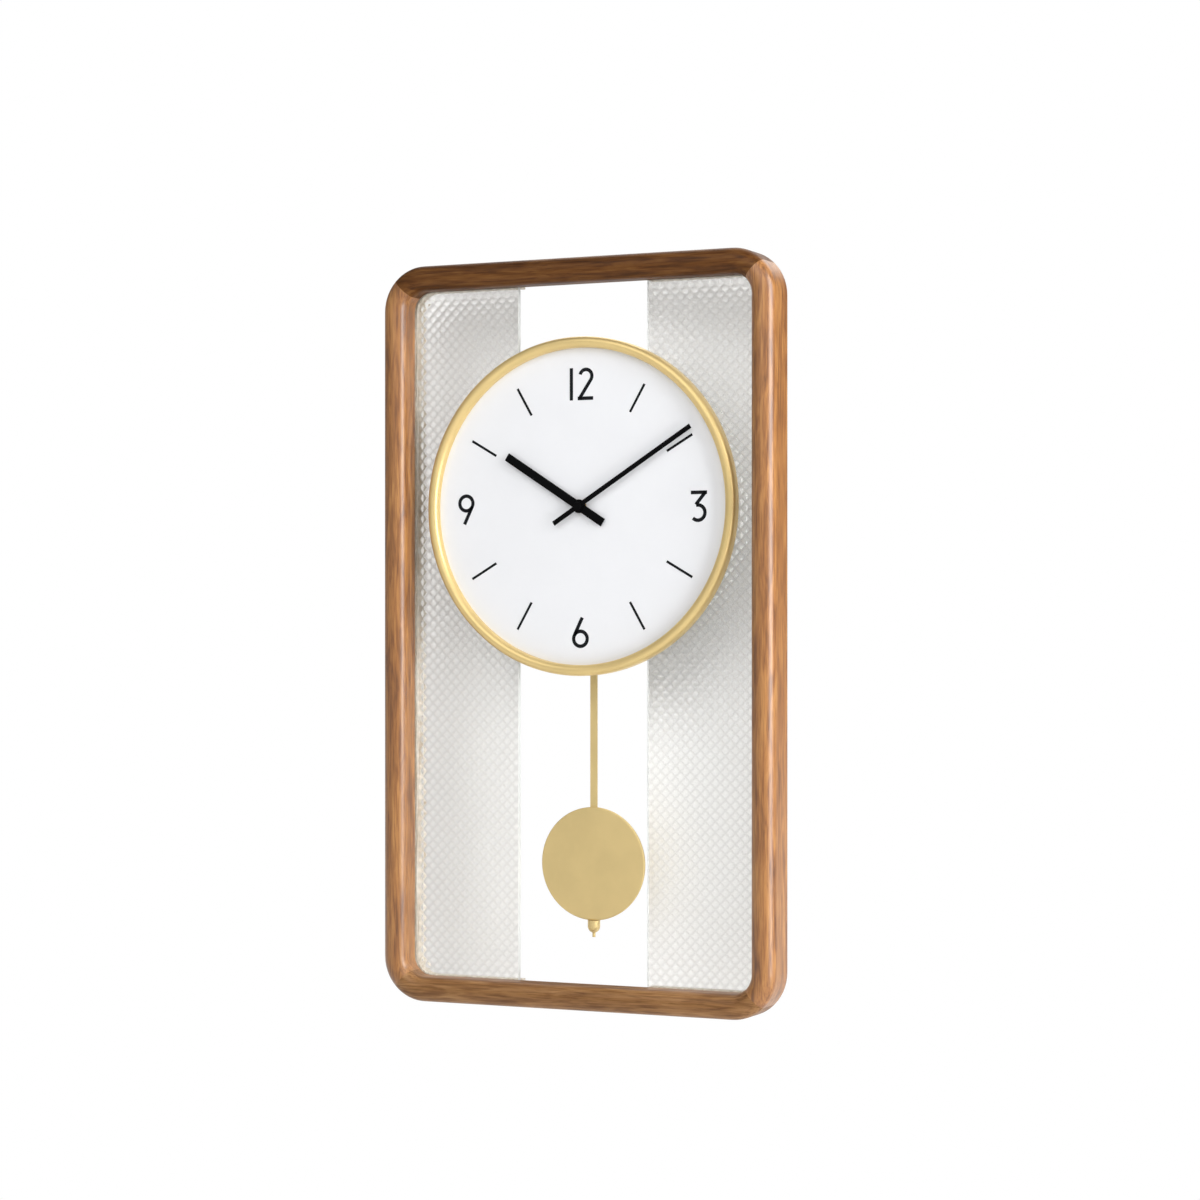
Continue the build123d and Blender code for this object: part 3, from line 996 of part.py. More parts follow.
# Pendulum: a flat rod hung on the lever's hook, with the bob and the finial at its foot
with BuildPart() as pendulum_rod:
    with BuildSketch(facing(0, Y_ROD + ROD_THICKNESS, Z_HOOK)) as rod_outline:
        rod_length = Z_HOOK - Z_FINIAL
        Circle(ROD_EYE_RADIUS)
        with Locations((0, -rod_length / 2)):
            Rectangle(ROD_WIDTH, rod_length)
        with Locations((0, -rod_length - TANG_LENGTH / 2)):
            Rectangle(TANG_WIDTH, TANG_LENGTH)
        Circle(HOOK_RADIUS + ROD_PLAY, mode=Mode.SUBTRACT)
    extrude(amount=ROD_THICKNESS)
pendulum_rod.part.label = "pendulum_rod"
export_step(pendulum_rod.part, "parts/pendulum_rod.step")

# The bob is a crowned sheet disc whose turned rim rests on the rod
with BuildPart() as pendulum_bob:
    with BuildSketch(Plane.XY.offset(Z_BOB)) as bob_profile:
        with BuildLine():
            rim_front = Y_ROD - BOB_RIM
            crown_radius = (BOB_RADIUS ** 2 + BOB_CROWN ** 2) / (2 * BOB_CROWN)
            crown_centre = rim_front - BOB_CROWN + crown_radius
            inner_radius = BOB_RADIUS - BOB_SHEET
            sheet_radius = crown_radius - BOB_SHEET
            inner_front = crown_centre - (sheet_radius ** 2 - inner_radius ** 2) ** 0.5
            inner_top = crown_centre - sheet_radius
            RadiusArc((0, rim_front - BOB_CROWN), (BOB_RADIUS, rim_front), -crown_radius)
            Polyline((BOB_RADIUS, rim_front), (BOB_RADIUS, Y_ROD), (inner_radius, Y_ROD),
                     (inner_radius, inner_front))
            RadiusArc((inner_radius, inner_front), (0, inner_top), sheet_radius)
            Line((0, inner_top), (0, rim_front - BOB_CROWN))
        make_face()
    revolve(axis=Axis((0, 0, Z_BOB), (0, 1, 0)))
    outer_circles = pendulum_bob.edges().filter_by(lambda edge: edge.bounding_box().size.X > 2 * inner_radius)
    fillet(outer_circles.sort_by(Axis.Y)[0], BOB_EDGE)
pendulum_bob.part.label = "pendulum_bob"
export_step(pendulum_bob.part, "parts/pendulum_bob.step")

# The finial is a nut on the rod's tang: a barrel, a rounded nose and a pin
with BuildPart() as pendulum_finial:
    finial_y = Y_ROD + ROD_THICKNESS / 2
    with BuildSketch(facing(0, finial_y, Z_FINIAL)) as finial_profile:
        with BuildLine():
            nose_end = -FINIAL_BARREL - FINIAL_NOSE
            tip_end = nose_end - FINIAL_TIP_LENGTH
            Polyline((FINIAL_TIP_RADIUS, nose_end), (FINIAL_TIP_RADIUS, tip_end), (0, tip_end), (0, 0),
                     (FINIAL_RADIUS, 0), (FINIAL_RADIUS, -FINIAL_BARREL))
            TangentArc((FINIAL_RADIUS, -FINIAL_BARREL), (FINIAL_TIP_RADIUS, nose_end), tangent=(0, -1))
        make_face()
    revolve(axis=Axis((0, finial_y, Z_FINIAL), (0, 0, 1)))
    block(-TANG_WIDTH / 2 - HAND_PLAY, TANG_WIDTH / 2 + HAND_PLAY, Z_FINIAL - TANG_LENGTH - HAND_PLAY,
          Z_FINIAL, Y_ROD - HAND_PLAY, Y_ROD + ROD_THICKNESS + HAND_PLAY, mode=Mode.SUBTRACT)
pendulum_finial.part.label = "pendulum_finial"
export_step(pendulum_finial.part, "parts/pendulum_finial.step")


def hand_outline(length, tail, width, angle, hub_radius, bore):
    """Straight bar hand pointing at the angle, with a round hub and its bore."""
    pointing = 90 - angle
    with Locations(polar((0, 0), (length - tail) / 2, pointing)):
        Rectangle(length + tail, width, rotation=pointing)
    Circle(hub_radius)
    Circle(bore, mode=Mode.SUBTRACT)


# Hands
with BuildPart() as hour_hand:
    with BuildSketch(facing(0, Y_HOUR_HAND, Z_DIAL)) as hour_outline:
        hand_outline(HOUR_LENGTH, HOUR_TAIL, HOUR_WIDTH, HOUR_ANGLE, HOUR_HUB_RADIUS,
                     HOUR_TUBE_RADIUS + HAND_PLAY)
    extrude(amount=HOUR_THICKNESS)
hour_hand.part.label = "hour_hand"
export_step(hour_hand.part, "parts/hour_hand.step")

with BuildPart() as minute_hand:
    with BuildSketch(facing(0, Y_MINUTE_HAND, Z_DIAL)) as minute_outline:
        hand_outline(MINUTE_LENGTH, MINUTE_TAIL, MINUTE_WIDTH, MINUTE_ANGLE, MINUTE_HUB_RADIUS,
                     MINUTE_ARBOR_RADIUS + HAND_PLAY)
    extrude(amount=MINUTE_THICKNESS)
minute_hand.part.label = "minute_hand"
export_step(minute_hand.part, "parts/minute_hand.step")

with BuildPart() as hand_cap:
    with BuildSketch(facing(0, Y_MINUTE_END, Z_DIAL)) as cap_outline:
        Circle(CAP_RADIUS)
    extrude(amount=CAP_HEIGHT)
    fillet(hand_cap.faces().sort_by(Axis.Y)[0].edges(), CAP_EDGE)
hand_cap.part.label = "hand_cap"
export_step(hand_cap.part, "parts/hand_cap.step")
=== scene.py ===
from math import acos, atan2, ceil, cos, floor, pi, radians, sin

import bmesh
import bpy
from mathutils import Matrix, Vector


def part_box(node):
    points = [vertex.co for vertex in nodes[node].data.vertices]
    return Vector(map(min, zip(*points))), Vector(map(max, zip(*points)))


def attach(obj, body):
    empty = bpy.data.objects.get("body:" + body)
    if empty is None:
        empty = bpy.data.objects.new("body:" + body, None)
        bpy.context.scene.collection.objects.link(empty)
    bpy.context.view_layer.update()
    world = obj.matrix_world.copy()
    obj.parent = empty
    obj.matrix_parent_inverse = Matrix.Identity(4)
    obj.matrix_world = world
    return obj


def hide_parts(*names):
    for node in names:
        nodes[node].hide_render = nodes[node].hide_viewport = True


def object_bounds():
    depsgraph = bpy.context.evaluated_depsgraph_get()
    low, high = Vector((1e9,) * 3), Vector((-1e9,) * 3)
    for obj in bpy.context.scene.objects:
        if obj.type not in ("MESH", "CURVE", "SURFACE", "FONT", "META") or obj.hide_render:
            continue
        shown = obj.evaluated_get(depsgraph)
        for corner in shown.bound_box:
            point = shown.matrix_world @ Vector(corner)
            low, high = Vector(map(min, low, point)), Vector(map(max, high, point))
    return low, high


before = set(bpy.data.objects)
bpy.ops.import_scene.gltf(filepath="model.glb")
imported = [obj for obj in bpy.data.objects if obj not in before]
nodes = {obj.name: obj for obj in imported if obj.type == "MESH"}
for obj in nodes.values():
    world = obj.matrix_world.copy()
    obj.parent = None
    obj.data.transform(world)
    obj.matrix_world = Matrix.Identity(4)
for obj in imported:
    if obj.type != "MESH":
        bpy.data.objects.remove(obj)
cad_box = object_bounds()

MM = 0.001

# Camera, as fitted to the frame's edges in the photograph
CAMERA_AZIMUTH = radians(24.9)
CAMERA_PLACE = (789.0 * MM, -1713.0 * MM, -138.0 * MM)
CAMERA_LENS = 86.6
CAMERA_SENSOR = 36.0
CAMERA_SHIFT = 0.0288

# Embossed glass: diamonds that stand on their corners
DIAMOND_WIDTH = 6.8 * MM
DIAMOND_HEIGHT = 6.9 * MM
EMBOSS_DEPTH = 1.4 * MM
PLAIN_DEPTH = 0.5 * MM
PLAIN_BORDER = 9.0 * MM
PLAIN_STRIP = 1.5 * MM
PANE_CORNER = 18.8 * MM
EDGE_FADE = 3.0 * MM
STEPS_PER_FLANK = 4
GLASS_SKIN = 0.02 * MM
BACK_SKIN = 0.05 * MM
EDGE_LEAN = 0.3
WELD = 0.001 * MM
SHARP_ANGLE = radians(35)

# Pendulum bob
BOB_CROWN = 2.2 * MM
BOB_SHEET = 1.2 * MM
BOB_EDGE = 0.9 * MM
BOB_RINGS = 24
BOB_EDGE_STEPS = 6
BOB_SEGMENTS = 128

# Marks printed on the dial
PRINT_THICKNESS = 0.08 * MM
NUMERAL_STROKE = 2.3 * MM
NUMERAL_HALF = 9.2 * MM
NUMERAL_RADIUS = 79.3 * MM
SIDE_NUMERAL_RADIUS = 82.2 * MM
LOOP_RADIUS = 4.8 * MM
TICK_INNER = 69.6 * MM
TICK_OUTER = 89.8 * MM
TICK_WIDTH = 1.6 * MM
PRINT_DROP = 1.0 * MM
STEM_LEAN = 1.3 * MM
ONE_X = -6.4 * MM
TWO_X = 3.9 * MM
TWO_BOWL = 4.2 * MM
TWO_FOOT_X = -0.6 * MM
TWO_BASE = (-1.9 * MM, 9.0 * MM)
THREE_DROP = 0.9 * MM
THREE_BAR = (-5.4 * MM, 5.6 * MM)
THREE_ELBOW_X = 4.4 * MM
THREE_WAIST = (-2.0 * MM, 0.7 * MM)
THREE_BOWL_CENTRE = (-0.6 * MM, -4.4 * MM)

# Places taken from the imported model
dial_low, dial_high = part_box("dial_plate")
DIAL_CENTRE = (dial_low + dial_high) / 2
DIAL_FACE_Y = dial_low.y


def srgb(red, green, blue):
    """Linear colour from the parts of a display colour, 0 to 255."""
    def linear(part):
        share = part / 255
        return share / 12.92 if share <= 0.04045 else ((share + 0.055) / 1.055) ** 2.4
    return (linear(red), linear(green), linear(blue), 1.0)


class Finish:
    """A material with one principled surface and the nodes that feed it."""

    def __init__(self, name, **values):
        self.material = bpy.data.materials.new(name)
        self.material.use_nodes = True
        self.tree = self.material.node_tree
        self.surface = self.tree.nodes["Principled BSDF"]
        for socket, value in values.items():
            self.surface.inputs[socket.replace("_", " ")].default_value = value

    def node(self, kind, values=None, **settings):
        made = self.tree.nodes.new("ShaderNode" + kind)
        for name, value in settings.items():
            setattr(made, name, value)
        for socket, value in (values or {}).items():
            if isinstance(value, bpy.types.NodeSocket):
                self.tree.links.new(value, made.inputs[socket])
            else:
                made.inputs[socket].default_value = value
        return made

    def feed(self, socket, output):
        self.tree.links.new(output, self.surface.inputs[socket])

    def places(self, stretch=(1, 1, 1), shift=(0, 0, 0)):
        """Coordinates in the clock's own frame, squeezed along each axis."""
        seat = self.node("TexCoord")
        mapped = self.node("Mapping", {"Vector": seat.outputs["Object"],
                                       "Scale": stretch, "Location": shift})
        return mapped.outputs["Vector"]

    def noise(self, places, scale, detail=3.0, distortion=0.0):
        made = self.node("TexNoise", {"Vector": places, "Scale": scale,
                                      "Detail": detail, "Distortion": distortion})
        return made.outputs["Fac"]

    def ramp(self, factor, stops):
        """Colours that a factor runs through, as (place, colour) stops."""
        made = self.node("ValToRGB", {"Fac": factor})
        while len(made.color_ramp.elements) < len(stops):
            made.color_ramp.elements.new(1.0)
        for element, (place, colour) in zip(made.color_ramp.elements, stops):
            element.position = place
            element.color = colour
        return made.outputs["Color"]

    def remap(self, factor, low, high):
        made = self.node("MapRange", {"Value": factor, "To Min": low, "To Max": high})
        return made.outputs["Result"]

    def mix(self, factor, first, second, blend="MIX"):
        made = self.node("Mix", data_type="RGBA", blend_type=blend)
        for socket, value in ((0, factor), (6, first), (7, second)):
            if isinstance(value, bpy.types.NodeSocket):
                self.tree.links.new(value, made.inputs[socket])
            else:
                made.inputs[socket].default_value = value
        return made.outputs[2]

    def bump(self, height, strength, distance):
        made = self.node("Bump", {"Height": height, "Strength": strength, "Distance": distance})
        self.feed("Normal", made.outputs["Normal"])


def wood(name, grain, tones, shift, coat):
    """Lacquered wood; grain is the axis that the fibres run along."""
    finish = Finish(name, Specular_IOR_Level=0.1, Coat_Weight=coat, Coat_Roughness=0.34, Coat_IOR=1.68)
    along = tuple(0.12 if axis == grain else 1.0 for axis in "XYZ")
    fibres = tuple(0.05 if axis == grain else 1.0 for axis in "XYZ")
    figure = finish.noise(finish.places(along, shift), 220.0, 5.0, 1.0)
    streaks = finish.noise(finish.places(fibres, shift), 900.0, 4.0)
    pores = finish.noise(finish.places(fibres, shift), 1900.0, 2.0)
    dark, middle, light = tones
    tone = finish.ramp(figure, [(0.3, dark), (0.5, middle), (0.68, light)])
    streak_tone = finish.ramp(streaks, [(0.36, (0.55, 0.45, 0.34, 1.0)), (0.54, (1.0, 1.0, 1.0, 1.0))])
    pore_tone = finish.ramp(pores, [(0.3, (0.5, 0.42, 0.34, 1.0)), (0.42, (1.0, 1.0, 1.0, 1.0))])
    grained = finish.mix(0.75, tone, streak_tone, "MULTIPLY")
    finish.feed("Base Color", finish.mix(0.6, grained, pore_tone, "MULTIPLY"))
    finish.feed("Roughness", finish.remap(streaks, 0.55, 0.4))
    finish.bump(pores, 0.12, 0.0002)
    return finish.material


def metal(name, colour, roughness, spread, brushing=(1, 1, 1), scale=900.0, bump=0.03, metallic=1.0):
    """Metal with a fine brushed or satin grain; lacquered metal is less than wholly metallic."""
    finish = Finish(name, Metallic=metallic)
    grain = finish.noise(finish.places(brushing), scale, 4.0)
    clouds = finish.noise(finish.places(), 45.0, 3.0)
    shade = tuple(part * 0.94 for part in colour[:3]) + (1.0,)
    finish.feed("Base Color", finish.ramp(clouds, [(0.35, shade), (0.62, colour)]))
    finish.feed("Roughness", finish.remap(grain, roughness - spread, roughness + spread))
    finish.bump(grain, bump, 0.0001)
    return finish.material


def plastic(name, colour, roughness, grain_scale=1400.0, bump=0.08, shade=0.86, **values):
    """Moulded plastic, paint or rubber with a fine grain and slightly uneven tone."""
    finish = Finish(name, **values)
    grain = finish.noise(finish.places(), grain_scale, 2.0)
    clouds = finish.noise(finish.places(), 30.0, 3.0)
    deep = tuple(part * shade for part in colour[:3]) + (1.0,)
    finish.feed("Base Color", finish.ramp(clouds, [(0.3, deep), (0.62, colour)]))
    finish.feed("Roughness", finish.remap(grain, roughness - 0.06, roughness + 0.08))
    finish.bump(grain, bump, 0.0001)
    return finish.material


def wound(name, colour, turn_axis):
    """Enamelled wire wound in close turns."""
    finish = Finish(name, Metallic=0.85, Coat_Weight=0.5, Coat_Roughness=0.2)
    turns = finish.node("TexWave", {"Vector": finish.places(), "Scale": 900.0,
                                    "Distortion": 0.4, "Detail": 1.0}, bands_direction=turn_axis)
    dark = tuple(part * 0.35 for part in colour[:3]) + (1.0,)
    finish.feed("Base Color", finish.ramp(turns.outputs["Fac"], [(0.15, dark), (0.6, colour)]))
    finish.feed("Roughness", finish.remap(turns.outputs["Fac"], 0.5, 0.28))
    finish.bump(turns.outputs["Fac"], 0.5, 0.0002)
    return finish.material


def dress(material, *names):
    for name in names:
        mesh = nodes[name].data
        mesh.materials.clear()
        mesh.materials.append(material)


def new_piece(name, mesh_maker, material, body="case"):
    """Mesh object from a bmesh builder, riding on a body."""
    shape = bmesh.new()
    mesh_maker(shape)
    bmesh.ops.recalc_face_normals(shape, faces=shape.faces)
    mesh = bpy.data.meshes.new(name)
    shape.to_mesh(mesh)
    shape.free()
    mesh.materials.append(material)
    piece = bpy.data.objects.new(name, mesh)
    bpy.context.scene.collection.objects.link(piece)
    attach(piece, body)
    return piece


# Finishes
RAIL_GRAIN = "X"
STILE_GRAIN = "Z"
STILE_TONES = (srgb(118, 73, 34), srgb(161, 107, 54), srgb(182, 129, 71))
# Painted shade: the rails' tones are darker copies of the stiles' wood, standing in for the weaker light on
# the rails; the top rail is darkest
TOP_RAIL_PAINTED_SHADE_TONES = (srgb(78, 46, 18), srgb(102, 63, 26), srgb(122, 81, 40))
BOTTOM_RAIL_PAINTED_SHADE_TONES = (srgb(116, 76, 40), srgb(144, 102, 59), srgb(166, 123, 78))
BEAD_TONES = (srgb(214, 206, 192), srgb(226, 219, 206), srgb(236, 230, 219))
dress(wood("left_stile_wood", STILE_GRAIN, STILE_TONES, (0.0, 0.3, 0.0), 0.9), "frame_left_stile")
dress(wood("right_stile_wood", STILE_GRAIN, STILE_TONES, (0.7, 0.1, 0.4), 0.9), "frame_right_stile")
# The rails are dressed in the painted-shade copies of the wood
dress(wood("top_rail_painted_shade_wood", RAIL_GRAIN, TOP_RAIL_PAINTED_SHADE_TONES, (0.2, 0.5, 0.1), 0.1), "frame_top_rail")
dress(wood("bottom_rail_painted_shade_wood", RAIL_GRAIN, BOTTOM_RAIL_PAINTED_SHADE_TONES, (0.5, 0.2, 0.6), 0.3), "frame_bottom_rail")
dress(wood("bead_wood", STILE_GRAIN, BEAD_TONES, (0.4, 0.0, 0.2), 0.0),
      "glazing_bead_left", "glazing_bead_right")
dress(wood("spline_wood", STILE_GRAIN, STILE_TONES, (0.1, 0.9, 0.3), 0.4), "corner_splines")

dress(metal("ring_gold", srgb(230, 203, 140), 0.38, 0.05, scale=1200.0, metallic=0.6), "dial_ring")
pendulum_gold = metal("pendulum_gold", srgb(226, 201, 141), 0.45, 0.05,
                      (1.0, 1.0, 0.04), 1600.0, metallic=0.5)
dress(pendulum_gold, "pendulum_rod", "pendulum_finial")
dress(plastic("dial_paint", srgb(243, 244, 247), 0.5, 2200.0, 0.02, 0.985, Specular_IOR_Level=0.2),
      "dial_plate")
hand_black = plastic("hand_black", srgb(8, 8, 9), 0.5, 1800.0, 0.03, Specular_IOR_Level=0.05)
dress(hand_black, "hour_hand", "minute_hand", "hand_cap")
dress(plastic("case_plastic", srgb(186, 186, 183), 0.5), "rear_case")
dress(plastic("movement_plastic", srgb(38, 38, 40), 0.46),
      "movement_front", "movement_back", "coil_bobbin", "pendulum_lever")
dress(plastic("wheel_plastic", srgb(236, 232, 218), 0.4),
      "hour_wheel", "minute_wheel", "setting_knob", "centre_wheel", "third_wheel", "second_wheel",
      "intermediate_wheel")
dress(metal("zinc_steel", srgb(200, 202, 206), 0.34, 0.08, scale=1500.0),
      "dial_studs", "stud_nuts", "hanger_plate", "hanger_screws", "movement_studs",
      "movement_nuts", "clutch_spring", "stator", "coil_core", "battery_contact_positive",
      "battery_contact_negative", "pendulum_pin")
dress(metal("pale_lacquered_steel", srgb(226, 220, 208), 0.5, 0.06, scale=1500.0, metallic=0.2),
      "bead_screws")
dress(metal("turned_brass", srgb(206, 172, 104), 0.26, 0.05, (1.0, 0.05, 1.0), 1800.0),
      "shaft_bush", "minute_arbor")
dress(plastic("black_rubber", srgb(36, 36, 36), 0.7, 900.0, 0.15), "glass_grommets", "movement_gasket")
dress(wound("motor_winding", srgb(196, 112, 66), "X"), "coil_winding")
dress(wound("drive_winding", srgb(196, 112, 66), "Y"), "drive_coil")
dress(plastic("board_green", srgb(24, 104, 62), 0.35, 700.0, 0.05, 0.7), "circuit_board")
dress(metal("magnet_grey", srgb(128, 128, 132), 0.45, 0.08), "rotor", "lever_magnet")
dress(plastic("battery_jacket", srgb(70, 74, 84), 0.3, 1200.0, 0.03, 0.8), "battery")

ink = plastic("dial_ink", srgb(24, 25, 28), 0.6, 2200.0, 0.03, Specular_IOR_Level=0.1)


# Embossed glass panes
def flanks(x, z):
    """How far a point is up each of the two slopes that cross there, from nought in a groove to one."""
    turns = (x / DIAMOND_WIDTH + z / DIAMOND_HEIGHT, x / DIAMOND_WIDTH - z / DIAMOND_HEIGHT)
    return [1 - 2 * abs(turn - round(turn)) for turn in turns]


def embossed_share(x, z, low, high):
    """Nought where the glass is plain along the pane's edges, one where it is fully embossed."""
    outer = max(abs(low.x), abs(high.x)) - abs(x)
    inner = abs(x) - min(abs(low.x), abs(high.x))
    end = min(z - low.z, high.z - z)
    border = min(outer, end)
    if max(outer, end) < PANE_CORNER:
        border = PANE_CORNER - Vector((PANE_CORNER - outer, PANE_CORNER - end)).length
    room = min(border - PLAIN_BORDER, inner - PLAIN_STRIP)
    return min(1.0, max(0.0, room / EDGE_FADE))


def embossing(x, z, low, high):
    """Depth below the pane's front at a point: pyramids on diamonds, rounded at their tips."""
    rise = min(flanks(x, z))
    pyramid = EMBOSS_DEPTH * (1 - 1.25 * (rise - rise ** 5 / 5))
    return PLAIN_DEPTH + embossed_share(x, z, low, high) * (pyramid - PLAIN_DEPTH)


def lattice_steps(low, high, pitch):
    """Places along an axis that the grooves pass through, a little beyond both ends."""
    step = pitch / 2 / STEPS_PER_FLANK
    return [index * step for index in range(floor(low / step) - 1, ceil(high / step) + 2)]


def build_slab(shape, low, high):
    """Rectangular slab with the embossed front, larger than the pane."""
    across = lattice_steps(low.x, high.x, DIAMOND_WIDTH)
    upward = lattice_steps(low.z, high.z, DIAMOND_HEIGHT)
    front = [[shape.verts.new((x, low.y + GLASS_SKIN + embossing(x, z, low, high), z)) for x in across]
             for z in upward]
    for row, z in enumerate(upward[:-1]):
        for column, x in enumerate(across[:-1]):
            near, right = front[row][column], front[row][column + 1]
            above, far = front[row + 1][column], front[row + 1][column + 1]
            first, second = flanks((x + across[column + 1]) / 2, (z + upward[row + 1]) / 2)
            if first < second:
                shape.faces.new([near, right, above])
                shape.faces.new([right, far, above])
            else:
                shape.faces.new([near, right, far])
                shape.faces.new([near, far, above])
    right_side = [line[-1] for line in front[:-1]]
    left_side = [line[0] for line in front[:0:-1]]
    rim = front[0][:-1] + right_side + front[-1][:0:-1] + left_side
    back = [shape.verts.new((vert.co.x, high.y - BACK_SKIN, vert.co.z)) for vert in rim]
    for here in range(len(rim)):
        there = (here + 1) % len(rim)
        shape.faces.new([rim[here], rim[there], back[there], back[here]])
    shape.faces.new(back)


def temporary(name, mesh_maker):
    """Closed object that is only used to cut another."""
    shape = bmesh.new()
    mesh_maker(shape)
    bmesh.ops.remove_doubles(shape, verts=shape.verts, dist=WELD)
    bmesh.ops.recalc_face_normals(shape, faces=shape.faces)
    mesh = bpy.data.meshes.new(name)
    shape.to_mesh(mesh)
    shape.free()
    made = bpy.data.objects.new(name, mesh)
    bpy.context.scene.collection.objects.link(made)
    return made


def embossed_pane(shape, node):
    """The CAD pane, with its corners and holes, cut back to the embossed front."""
    outline = temporary("outline", lambda target: target.from_mesh(nodes[node].data))
    slab = temporary("slab", lambda target: build_slab(target, *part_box(node)))
    cut = outline.modifiers.new("emboss", "BOOLEAN")
    cut.operation = "INTERSECT"
    cut.solver = "MANIFOLD"
    cut.object = slab
    bpy.context.view_layer.update()
    seen = outline.evaluated_get(bpy.context.evaluated_depsgraph_get())
    shape.from_mesh(seen.to_mesh())
    for spare in (outline, slab):
        bpy.data.objects.remove(spare)


def lattice(finish):
    """One on the crown of each diamond, nought along the grooves between them."""
    def maths(operation, first, second=0.0):
        made = finish.node("Math", operation=operation)
        for socket, value in zip(made.inputs, (first, second)):
            if isinstance(value, bpy.types.NodeSocket):
                finish.tree.links.new(value, socket)
            else:
                socket.default_value = value
        return made.outputs[0]

    apart = finish.node("SeparateXYZ", {"Vector": finish.node("TexCoord").outputs["Object"]})
    across = maths("MULTIPLY", apart.outputs["X"], pi / DIAMOND_WIDTH)
    upward = maths("MULTIPLY", apart.outputs["Z"], pi / DIAMOND_HEIGHT)
    first = maths("ABSOLUTE", maths("COSINE", maths("ADD", across, upward)))
    second = maths("ABSOLUTE", maths("COSINE", maths("SUBTRACT", across, upward)))
    return maths("MINIMUM", first, second)


glass = Finish("embossed_glass", Transmission_Weight=1.0, IOR=1.5)
crowns = lattice(glass)
# Painted shade and painted glints: the clear glass is tinted darker along the grooves and flanks and nearly
# white on the diamonds' crowns, in place of what refraction and reflection show
GROOVE_PAINTED_SHADE = (0.86, 0.86, 0.852, 1.0)
FLANK_PAINTED_SHADE = (0.91, 0.91, 0.905, 1.0)
CROWN_PAINTED_GLINT = (0.99, 0.99, 0.985, 1.0)
glass.feed("Base Color", glass.ramp(crowns, [(0.1, GROOVE_PAINTED_SHADE), (0.55, FLANK_PAINTED_SHADE), (0.82, CROWN_PAINTED_GLINT)]))
glass.feed("Roughness", glass.remap(crowns, 0.22, 0.05))
ground_edge = plastic("ground_glass_edge", srgb(236, 239, 237), 0.55, 1500.0, 0.1, 0.94,
                      Transmission_Weight=0.35)
for pane_name in ("glass_pane_left", "glass_pane_right"):
    pane = new_piece("embossed_" + pane_name, lambda shape: embossed_pane(shape, pane_name),
                     glass.material)
    pane.data.materials.append(ground_edge)
    for face in pane.data.polygons:
        face.material_index = int(abs(face.normal.y) < EDGE_LEAN)
    pane.data.shade_smooth()
    pane.data.set_sharp_from_angle(angle=SHARP_ANGLE)
    pane.visible_shadow = False
    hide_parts(pane_name)


# Pendulum bob: a crowned sheet disc, open at the back
def build_bob(shape):
    low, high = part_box("pendulum_bob")
    centre = (low + high) / 2
    radius = (high.x - low.x) / 2
    crown_radius = (radius ** 2 + BOB_CROWN ** 2) / (2 * BOB_CROWN)
    sheet_radius = crown_radius - BOB_SHEET
    bore = radius - BOB_SHEET
    flat = radius - BOB_EDGE
    outside = [(flat * step / BOB_RINGS, low.y) for step in range(BOB_RINGS + 1)]
    outside = [(reach, y + crown_radius - (crown_radius ** 2 - reach ** 2) ** 0.5) for reach, y in outside]
    turns = [radians(90 * step / BOB_EDGE_STEPS) for step in range(1, BOB_EDGE_STEPS + 1)]
    edge_centre = outside[-1][1] + BOB_EDGE
    rounded = [(flat + BOB_EDGE * sin(turn), edge_centre - BOB_EDGE * cos(turn)) for turn in turns]
    inside = [(bore * (BOB_RINGS - step) / BOB_RINGS, low.y + BOB_SHEET) for step in range(BOB_RINGS + 1)]
    inside = [(reach, y + sheet_radius - (sheet_radius ** 2 - reach ** 2) ** 0.5) for reach, y in inside]
    profile = outside + rounded + [(radius, high.y), (bore, high.y)] + inside
    rings = []
    for reach, y in profile:
        if reach < WELD:
            rings.append([shape.verts.new((centre.x, y, centre.z))])
            continue
        angles = [2 * pi * step / BOB_SEGMENTS for step in range(BOB_SEGMENTS)]
        rings.append([shape.verts.new((centre.x + reach * cos(angle), y, centre.z + reach * sin(angle)))
                      for angle in angles])
    for near, far in zip(rings, rings[1:]):
        for step in range(BOB_SEGMENTS):
            after = (step + 1) % BOB_SEGMENTS
            corners = [near[step % len(near)], near[after % len(near)],
                       far[after % len(far)], far[step % len(far)]]
            shape.faces.new(list(dict.fromkeys(corners)))


bob = new_piece("crowned_bob", build_bob, pendulum_gold, "pendulum")
bob.data.shade_smooth()
bob.data.set_sharp_from_angle(angle=SHARP_ANGLE)
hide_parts("pendulum_bob")


# Marks on the dial
def stroke(shape, points, width, closed=False):
    """Flat printed line along points in the dial's plane, from its centre."""
    count = len(points)
    sides = []
    for index, point in enumerate(points):
        before = points[index - 1] if closed or index > 0 else point
        after = points[(index + 1) % count] if closed or index < count - 1 else point
        heading = (after - before).normalized()
        across = Vector((-heading.y, heading.x)) * width / 2
        sides.append([point + across, point - across])
    front_y = DIAL_FACE_Y - PRINT_THICKNESS
    rings = []
    for pair in sides:
        ring = []
        left, right = pair
        for y, flat in ((front_y, left), (front_y, right), (DIAL_FACE_Y, right), (DIAL_FACE_Y, left)):
            ring.append(shape.verts.new((DIAL_CENTRE.x + flat.x, y, DIAL_CENTRE.z - PRINT_DROP + flat.y)))
        rings.append(ring)
    joined = rings + [rings[0]] if closed else rings
    for near, far in zip(joined, joined[1:]):
        for corner in range(4):
            following = (corner + 1) % 4
            shape.faces.new([near[corner], near[following], far[following], far[corner]])
    if not closed:
        shape.faces.new(rings[0])
        shape.faces.new(rings[-1])


def arc(centre, radius, start, end, steps=32):
    """Points on a circle between two angles in degrees."""
    angles = [radians(start + (end - start) * step / steps) for step in range(steps + 1)]
    return [Vector((centre[0] + radius * cos(angle), centre[1] + radius * sin(angle))) for angle in angles]


